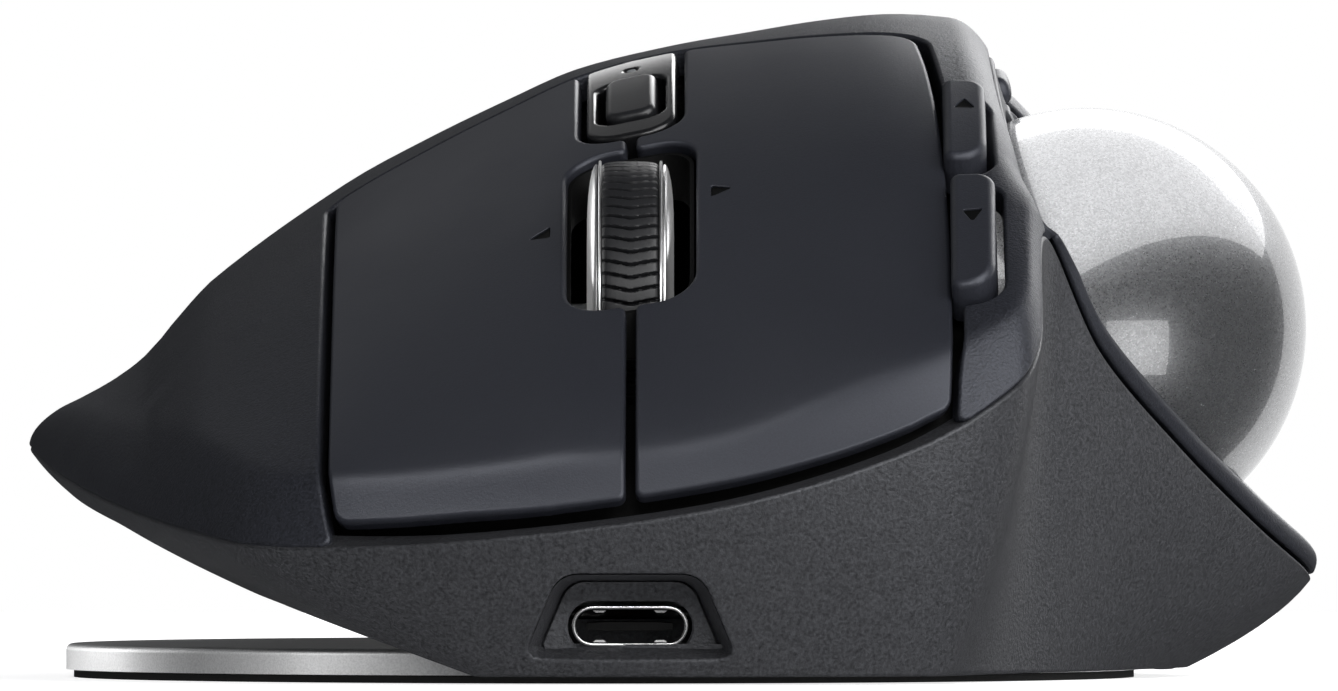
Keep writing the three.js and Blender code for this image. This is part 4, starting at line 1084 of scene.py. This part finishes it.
steel_plate = panel("steel_plate", level(BASE["top"]), resampled(oval(BASE["x"], BASE["rx"], BASE["ry"]), 0.8),
                    plate_holes, thick=1.99, edge=0.5, step=3.0)
pad_holes = [
    resampled(circle(30.3, -8, 3.9), 0.5), resampled(rounded(slot_rows(12.2, 21.8, 16.2, 31.8, 1.4)), 0.6),
]
rubber_pad = panel("rubber_pad", level(BASE["pad"]),
                   resampled(oval(BASE["x"], BASE["rx"] - 0.6, BASE["ry"] - 0.6), 0.8), pad_holes, thick=0.6,
                   edge=0.12, step=3.0)

# Near-black sheet under the deck's gaps that paints the shade seen in them, and the wheel well.
gap_shade_rows = [[DECK_LEFT - 2.2, -61, 0], [-26.5, -63.4, 0], *[[x, y, 0] for x, y in rim_line(
    np.linspace(0.3, 3.7, 30), 0.9)], [24.4, -52, 0], [24.0, -34, 0], [22.9, -16, 0], [21.5, -9, 2.5]]
gap_shade_rows += seam_points(17, -24, 2.2)
gap_shade_rows.append([DECK_LEFT - 2.2, -5.0, 2.0])
gap_shade_hole = rounded([
    [-22, -56.5, 2], [18.5, -54, 2], [16.5, -14, 4], [3, -9, 2], [-9.5, -9, 2], [-22, -12, 2],
])
# A dark sheet standing in for the shade inside the deck's gaps: painted shade.
deck_ledge = panel("deck_ledge", upper, resampled(rounded(gap_shade_rows), 1.0), [resampled(gap_shade_hole, 1.0)],
                   thick=0.8, edge=0.1, step=2.0, proud=-2.9, rounds=1)
well_rows = slot_rows(MID_X - WELL["half"] + 0.42, MID_X + WELL["half"] - 0.42, WELL["front"] + 0.42,
                      WELL["rear"] - 0.42, WELL["radius"] - 0.4)
well_loop = resampled(rounded(well_rows), 0.5)
well_out = well_loop - leftward(well_loop) * 0.32


def dropped(loop, depth):
    place = upper(loop)
    place[:, 2] -= depth
    return place


wheel_well = loft("wheel_well", [dropped(well_loop, 0.75), dropped(well_loop, 4.2), dropped(well_out, 4.2),
                                 dropped(well_out, 0.75)])

# ---------------------------------------------------------------- wheel

WHEEL = np.array([MID_X, -32.7, 27.8])
TYRE = {"radius": 12.0, "half": 2.17, "ribs": 73, "groove": 0.42}


def tyre_mesh():
    around, across = TYRE["ribs"] * 16, 21
    turn = np.linspace(0, 2 * math.pi, around, endpoint=False)
    x = np.linspace(-1, 1, across)
    phase = (turn[None, :] / (2 * math.pi) * TYRE["ribs"] + 0.45 * np.abs(x[:, None])) % 1.0
    groove = np.clip(1.2 - np.abs(phase - 0.5) * 8, 0, 1)
    groove = groove * groove * (3 - 2 * groove)
    shoulder = 1 - np.sqrt(np.maximum(1 - np.abs(x[:, None]) ** 6, 0))
    fade = np.clip((1 - np.abs(x[:, None])) * 5, 0, 1)
    cut = TYRE["groove"] * groove * (0.25 + 0.75 * fade)
    radius = TYRE["radius"] - 0.22 * shoulder - 0.1 * x[:, None] ** 2 - cut
    rings = []
    for k in range(across):
        rings.append(np.stack([
            np.full(around, WHEEL[0] + x[k] * TYRE["half"]), WHEEL[1] + radius[k] * np.cos(turn),
            WHEEL[2] + radius[k] * np.sin(turn),
        ], -1))
    for side in (1, -1):
        rings.append(np.stack([
            np.full(around, WHEEL[0] + side * TYRE["half"]), WHEEL[1] + 9.9 * np.cos(turn),
            WHEEL[2] + 9.9 * np.sin(turn),
        ], -1))
    return loft("tyre", rings)


tyre = tyre_mesh()


def wheel_part(name, profile, side):
    rows = [[radius, side * x] for radius, x in profile]
    return turned_x(name, rows[::-1] if side < 0 else rows, WHEEL, 160)


RING = [
    [9.6, 2.2], [11.2, 2.2], [11.96, 2.22], [12.05, 2.28], [12.05, 2.38], [11.96, 2.44], [11.2, 2.46],
    [9.6, 2.46],
]
FLANK = [
    [1.5, 2.5], [11.0, 2.5], [11.7, 2.52], [11.78, 2.58], [11.76, 2.68], [11.6, 2.8], [11.2, 2.95], [10.5, 3.1],
    [9.4, 3.24], [8.0, 3.31], [6.0, 3.33], [4.4, 3.3], [4.1, 3.1], [3.9, 2.95], [1.5, 2.95],
]
edge_rings = [wheel_part("edge_ring_" + label, RING, side) for label, side in (("right", -1), ("left", 1))]
flanks = [wheel_part("flank_" + label, FLANK, side) for label, side in (("right", -1), ("left", 1))]

# ---------------------------------------------------------------- materials


def new_material(name):
    made = bpy.data.materials.new(name)
    made.use_nodes = True
    return made, made.node_tree, made.node_tree.nodes["Principled BSDF"]


def noise(tree, size_mm, detail=3.0, roughness=0.5, stretch=None):
    """Noise whose features are about size_mm across, in the object's own space."""
    where = tree.nodes.new("ShaderNodeTexCoord")
    made = tree.nodes.new("ShaderNodeTexNoise")
    made.inputs["Scale"].default_value = 1000.0 / size_mm
    made.inputs["Detail"].default_value = detail
    made.inputs["Roughness"].default_value = roughness
    source = where.outputs["Object"]
    if stretch is not None:
        scale = tree.nodes.new("ShaderNodeMapping")
        scale.inputs["Scale"].default_value = stretch
        tree.links.new(source, scale.inputs["Vector"])
        source = scale.outputs["Vector"]
    tree.links.new(source, made.inputs["Vector"])
    return made.outputs["Fac"]


def spread(tree, value, low, high, start=0.3, end=0.7):
    made = tree.nodes.new("ShaderNodeMapRange")
    made.inputs["From Min"].default_value = start
    made.inputs["From Max"].default_value = end
    made.inputs["To Min"].default_value = low
    made.inputs["To Max"].default_value = high
    tree.links.new(value, made.inputs["Value"])
    return made.outputs["Result"]


def between(tree, value, first, second, start=0.3, end=0.7):
    made = tree.nodes.new("ShaderNodeMix")
    made.data_type = "RGBA"
    made.inputs["A"].default_value = (*first, 1)
    made.inputs["B"].default_value = (*second, 1)
    tree.links.new(spread(tree, value, 0, 1, start, end), made.inputs["Factor"])
    return made.outputs["Result"]


def bumped(tree, shader, layers):
    """Bump layers: (height output, strength, depth in millimetres)."""
    last = None
    for height, strength, depth in layers:
        made = tree.nodes.new("ShaderNodeBump")
        made.inputs["Strength"].default_value = strength
        made.inputs["Distance"].default_value = depth * MM
        tree.links.new(height, made.inputs["Height"])
        if last is not None:
            tree.links.new(last, made.inputs["Normal"])
        last = made.outputs["Normal"]
    tree.links.new(last, shader.inputs["Normal"])


def plastic(name, dark, light, rough, grain, depth, wear=0.04, specular=0.5, shine=(1.0, 1.0, 1.0)):
    made, tree, shader = new_material(name)
    fine = noise(tree, grain, 4.0, 0.6)
    broad = noise(tree, 18.0, 3.0)
    tree.links.new(between(tree, fine, dark, light), shader.inputs["Base Color"])
    tree.links.new(spread(tree, broad, rough - wear, rough + wear), shader.inputs["Roughness"])
    shader.inputs["Specular IOR Level"].default_value = specular
    shader.inputs["Specular Tint"].default_value = (*shine, 1)
    bumped(tree, shader, [(fine, 1.0, depth), (noise(tree, grain * 3.2, 2.0), 0.5, depth * 0.8)])
    return made


def metal(name, dark, light, rough, grain, depth, stretch=None, wear=0.05):
    made, tree, shader = new_material(name)
    fine = noise(tree, grain, 3.0, 0.6, stretch)
    broad = noise(tree, 9.0, 3.0)
    tree.links.new(between(tree, fine, dark, light), shader.inputs["Base Color"])
    tree.links.new(spread(tree, broad, rough - wear, rough + wear), shader.inputs["Roughness"])
    shader.inputs["Metallic"].default_value = 1.0
    bumped(tree, shader, [(fine, 1.0, depth)])
    return made


def grey(value, tint=0.0):
    return (value * (1 - 0.2 * tint), value, value * (1 + tint))


COOL = (0.87, 0.90, 1.0)
LOOK = {
    "palm_grip": plastic("palm_grip", grey(0.005, 0.3), grey(0.024, 0.3), 0.48, 0.22, 0.06, shine=COOL),
    "lower_housing": plastic(
        "lower_housing", grey(0.013, 0.1), grey(0.044, 0.1), 0.42, 0.28, 0.08, shine=(0.93, 0.95, 1.0)),
    "thumb_scoop": plastic("thumb_scoop", grey(0.007, 0.3), grey(0.020, 0.3), 0.46, 0.2, 0.04, shine=COOL),
    "click_plates": plastic("click_plates", grey(0.009, 0.35), grey(0.016, 0.35), 0.42, 0.14, 0.014, shine=COOL),
    "mode_trim": plastic("mode_trim", grey(0.006, 0.1), grey(0.009, 0.1), 0.24, 0.4, 0.002, 0.03),
    "mode_button": plastic("mode_button", grey(0.009, 0.15), grey(0.013, 0.15), 0.36, 0.14, 0.008),
    "side_keys": plastic("side_keys", grey(0.014, 0.3), grey(0.024, 0.3), 0.44, 0.16, 0.02, shine=COOL),
    # Near-black: the inner parts' own plastic, and on the gap sheet the painted shade inside the deck's gaps.
    "inner_plastic": plastic("inner_plastic", grey(0.002), grey(0.004), 0.6, 0.3, 0.01, 0.04, 0.12),
    "tyre_rubber": plastic("tyre_rubber", grey(0.007, 0.15), grey(0.012, 0.15), 0.46, 0.18, 0.012),
    "pad_rubber": plastic("pad_rubber", grey(0.008), grey(0.013), 0.7, 0.25, 0.02),
    "circuit_board": plastic("circuit_board", (0.005, 0.05, 0.015), (0.012, 0.09, 0.03), 0.4, 1.2, 0.01),
    "polished_ring": metal("polished_ring", grey(0.74), grey(0.84), 0.30, 0.4, 0.002, None, 0.03),
    "bright_steel": metal("bright_steel", grey(0.55), grey(0.68), 0.3, 0.3, 0.002),
    "port_metal": metal("port_metal", grey(0.60), grey(0.72), 0.22, 0.25, 0.0015),
    "base_steel": metal("base_steel", grey(0.74), grey(0.95), 0.46, 0.16, 0.012),
    "battery_foil": metal("battery_foil", grey(0.50), grey(0.62), 0.35, 1.5, 0.01),
    "ceramic": plastic("ceramic", grey(0.72), grey(0.80), 0.2, 0.3, 0.001),
    "arrow_ink": plastic("arrow_ink", grey(0.001), grey(0.002), 0.5, 0.3, 0.002, 0.04, 0.15),
}


def lamp_material():
    made, tree, shader = new_material("status_lens")
    grainy = noise(tree, 0.25, 2.0)
    tree.links.new(between(tree, grainy, (0.32, 0.34, 0.36), (0.42, 0.44, 0.46)), shader.inputs["Base Color"])
    shader.inputs["Roughness"].default_value = 0.3
    shader.inputs["Transmission Weight"].default_value = 0.3
    bumped(tree, shader, [(grainy, 1.0, 0.003)])
    return made


def ball_material():
    """Pearl pigment with fine metal flakes under a thick clear coat."""
    made, tree, shader = new_material("ball")
    where = tree.nodes.new("ShaderNodeTexCoord")
    flakes = tree.nodes.new("ShaderNodeTexVoronoi")
    flakes.inputs["Scale"].default_value = 1000.0 / 0.11
    tree.links.new(where.outputs["Object"], flakes.inputs["Vector"])
    split = tree.nodes.new("ShaderNodeSeparateColor")
    tree.links.new(flakes.outputs["Color"], split.inputs["Color"])
    tone = between(tree, split.outputs["Red"], grey(0.27, 0.03), grey(0.45, 0.03), 0.0, 1.0)
    shade = tree.nodes.new("ShaderNodeMix")
    shade.data_type = "RGBA"
    shade.blend_type = "MULTIPLY"
    shade.inputs["Factor"].default_value = 1.0
    tree.links.new(tone, shade.inputs["A"])
    tree.links.new(between(tree, noise(tree, 5.0, 4.0), grey(0.92), grey(1.0)), shade.inputs["B"])
    tree.links.new(shade.outputs["Result"], shader.inputs["Base Color"])
    shader.inputs["Metallic"].default_value = 0.9
    tree.links.new(spread(tree, split.outputs["Green"], 0.26, 0.40, 0, 1), shader.inputs["Roughness"])
    facing = tree.nodes.new("ShaderNodeBump")
    facing.inputs["Strength"].default_value = 0.25
    facing.inputs["Distance"].default_value = 0.015 * MM
    tree.links.new(split.outputs["Blue"], facing.inputs["Height"])
    tree.links.new(facing.outputs["Normal"], shader.inputs["Normal"])
    shader.inputs["Coat Weight"].default_value = 1.0
    shader.inputs["Coat Roughness"].default_value = 0.02
    shader.inputs["Coat IOR"].default_value = 1.9
    return made


LOOK["status_lens"] = lamp_material()
LOOK["ball"] = ball_material()


def dress(obj, slot_name, body, look=None):
    obj.data.materials.clear()
    obj.data.materials.append(LOOK[look or slot_name])
    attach(obj, body)


DRESSING = [
    (palm_cover, "palm_grip", "housing"), (scoop_cover, "thumb_scoop", "housing"),
    (lower_cover, "lower_housing", "housing"),
    (floor_cover, "lower_housing", "housing"), (port_recess, "lower_housing", "housing"),
    (trim_island, "mode_trim", "housing"), (status_dot, "status_lens", "housing"),
    # The deck's gap sheet is painted shade under the gaps.
    (deck_ledge, "inner_plastic", "housing"), (wheel_well, "inner_plastic", "housing"),
    (right_plate, "click_plates", "right_click"), (left_plate, "click_plates", "left_click"),
    (mode_key_cap, "mode_button", "mode_key"), (side_caps["forward"], "side_keys", "forward_key"),
    (side_caps["back"], "side_keys", "back_key"), (precision_cap, "side_keys", "precision_key"),
    (ball_cover, "ball", "ball"), (port_shell, "port_metal", "housing"),
    (port_tongue, "inner_plastic", "housing"), (tyre, "tyre_rubber", "wheel"),
    (steel_plate, "base_steel", "base"), (rubber_pad, "pad_rubber", "base"),
]
for obj, slot_name, body in DRESSING:
    dress(obj, slot_name, body)
for obj in skirts:
    dress(obj, "lower_housing", "housing")
for obj in port_springs:
    dress(obj, "port_metal", "housing")
for obj in [*edge_rings, *flanks]:
    dress(obj, "polished_ring", "wheel")
for label, obj in arrows.items():
    dress(obj, "mode_trim", ARROWS[label]["body"], "arrow_ink")
for obj in (port_recess, port_shell, port_tongue, *port_springs, wheel_well, tyre, *edge_rings, *flanks):
    crisp(obj)

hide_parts("palm_shell")
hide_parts("thumb_shell")
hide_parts("lower_shell")
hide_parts("mode_trim")
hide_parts("status_lens")
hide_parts("right_click_plate")
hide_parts("left_click_plate")
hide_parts("mode_button")
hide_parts("forward_button")
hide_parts("back_button")
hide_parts("precision_button")
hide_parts("trackball")
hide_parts("usb_receptacle")
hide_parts("usb_tongue")
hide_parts("wheel_tyre")
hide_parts("wheel_ring_right")
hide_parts("wheel_ring_left")
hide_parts("base_plate")
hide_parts("base_pad")

# CAD nodes that stay in sight keep their meshes and take a finish.
KEPT = {
    "inner_plastic": [
        "ball_socket", "sensor_module", "wheel_hub", "wheel_bracket", "wheel_cradle", "right_switch", "left_switch",
        "inner_chassis", "tilt_saddle_front", "tilt_saddle_rear", "power_slider",
    ],
    "ceramic": ["bearing_1", "bearing_2", "bearing_3", "sensor_lens"],
    "circuit_board": ["main_board", "side_switch_board", "wheel_encoder"],
    "bright_steel": [
        "hinge_pin", "base_knuckle_front", "base_knuckle_rear", "wheel_axle", "wheel_rocker", "screw_1", "screw_2",
        "screw_3", "screw_4", "rest_magnet", "tilt_magnet",
    ],
    "battery_foil": ["battery"],
}
for look, names in KEPT.items():
    for node_name in names:
        node = frame["nodes"][node_name]
        node.data.materials.clear()
        node.data.materials.append(LOOK[look])

# ---------------------------------------------------------------- stage

for stray in [o for o in bpy.data.objects if o.name in ("Cube", "Light", "Camera")]:
    bpy.data.objects.remove(stray)


def floor_mesh():
    count, radius = 96, 550.0
    angle = np.linspace(0, 2 * math.pi, count, endpoint=False)
    ring = np.stack([radius * np.cos(angle), radius * np.sin(angle), np.zeros(count)], -1)
    return new_object("floor", ring, [tuple(range(count))])


floor = floor_mesh()
floor_look, _, floor_shader = new_material("floor")
floor_shader.inputs["Base Color"].default_value = (0.86, 0.86, 0.87, 1)
floor_shader.inputs["Roughness"].default_value = 0.7
floor_shader.inputs["Emission Color"].default_value = (1, 1, 1, 1)
floor_shader.inputs["Emission Strength"].default_value = 0.8
floor.data.materials.append(floor_look)
floor.visible_glossy = False


def softbox(name, place, aim, width, height, power, only=None):
    """A rectangular light, either for everything but the ball or just for some pieces."""
    data = bpy.data.lights.new(name, "AREA")
    data.shape = "RECTANGLE"
    data.size, data.size_y = width, height
    data.energy = power
    made = bpy.data.objects.new(name, data)
    bpy.context.scene.collection.objects.link(made)
    made.location = place
    made.rotation_mode = "QUATERNION"
    made.rotation_quaternion = (Vector(aim) - Vector(place)).to_track_quat("-Z", "Y")
    chosen = bpy.data.collections.new(name + "_lit")
    for obj in only or [ball_cover]:
        chosen.objects.link(obj)
    made.light_linking.receiver_collection = chosen
    if only:
        made.light_linking.blocker_collection = chosen
    else:
        for entry in chosen.collection_objects:
            entry.light_linking.link_state = "EXCLUDE"
    return made


aim = (0.0, 0.0, 0.02)
middle = tuple(BALL * MM)
bright = [steel_plate, port_shell, *edge_rings, *flanks]
# Lights on everything but the ball: place, width, height in metres, power in watts.
ROOM_LIGHTS = {
    "key": ((0.5, -0.40, 0.48), 0.6, 0.6, 4.6),
    "left_fill": ((-0.7, -0.25, 0.5), 0.4, 0.5, 0.2),
    "right_strip": ((0.62, -0.45, 0.05), 0.08, 0.3, 1.7),
    "right_rear": ((0.6, 0.42, 0.1), 0.3, 0.3, 0.5),
    "front_fill": ((0.25, -1.1, 0.55), 0.8, 0.22, 5.5),
    "front_low": ((0.2, -1.3, 0.12), 0.7, 0.2, 0.6),
    "rear_right": ((0.32, 0.82, 0.36), 0.6, 0.4, 3.6),
    "rear_left": ((-0.3, 0.55, 0.5), 0.5, 0.3, 0.12),
}
for name, (place, width, height, power) in ROOM_LIGHTS.items():
    softbox(name, place, aim, width, height, power)
softbox("metal_left", (-0.6, -0.25, 0.12), aim, 0.3, 0.3, 0.5, bright)
softbox("metal_left_rear", (-0.5, 0.56, 0.12), aim, 0.35, 0.3, 0.9, bright)
softbox("metal_right", (0.5, 0.45, 0.15), aim, 0.35, 0.3, 0.9, bright)
ball_top = softbox("ball_top", (-0.153, 0.27, 0.527), (-0.153, 0.27, 0.0), 2.5, 1.75, 23.0, [ball_cover])
ball_top.rotation_quaternion = Quaternion((0.0, 0.0, 1.0), math.radians(51))
softbox("ball_back", (0.0323, 0.8, 0.0271), middle, 2.2, 2.0, 12.0, [ball_cover])
softbox("island_back", (-0.003, 0.8, 0.27), aim, 0.4, 0.16, 0.45, [trim_island, mode_key_cap])
softbox("plate_top", (-0.2, -0.25, 0.6), aim, 0.4, 0.12, 1.3, [right_plate, left_plate])
softbox("window", (0.247, -0.448, -0.060), middle, 0.3, 0.24, 0.36, [ball_cover])

world = bpy.data.worlds.new("studio")
bpy.context.scene.world = world
world.use_nodes = True
nodes, links = world.node_tree.nodes, world.node_tree.links
nodes.clear()
output = nodes.new("ShaderNodeOutputWorld")
seen, rest = nodes.new("ShaderNodeBackground"), nodes.new("ShaderNodeBackground")
seen.inputs["Color"].default_value = (1, 1, 1, 1)
seen.inputs["Strength"].default_value = 1.0
rest.inputs["Color"].default_value = (0.92, 0.95, 1.0, 1)
rest.inputs["Strength"].default_value = 0.07
path, chosen = nodes.new("ShaderNodeLightPath"), nodes.new("ShaderNodeMixShader")
links.new(path.outputs["Is Camera Ray"], chosen.inputs["Fac"])
links.new(rest.outputs["Background"], chosen.inputs[1])
links.new(seen.outputs["Background"], chosen.inputs[2])
links.new(chosen.outputs["Shader"], output.inputs["Surface"])

scene = bpy.context.scene
scene.view_settings.view_transform = "Standard"
camera_data = bpy.data.cameras.new("camera")
camera = bpy.data.objects.new("camera", camera_data)
scene.collection.objects.link(camera)
camera_data.lens = 800
camera_data.sensor_width = 36
FRAME_WIDTH = 0.1039  # metres across the picture at the object
CAMERA_HEIGHT = 0.0257
distance = camera_data.lens / camera_data.sensor_width * FRAME_WIDTH
camera.location = (0.0, -distance, CAMERA_HEIGHT)
camera.rotation_euler = (math.pi / 2, 0, 0)
camera_data.clip_end = 20
scene.camera = camera
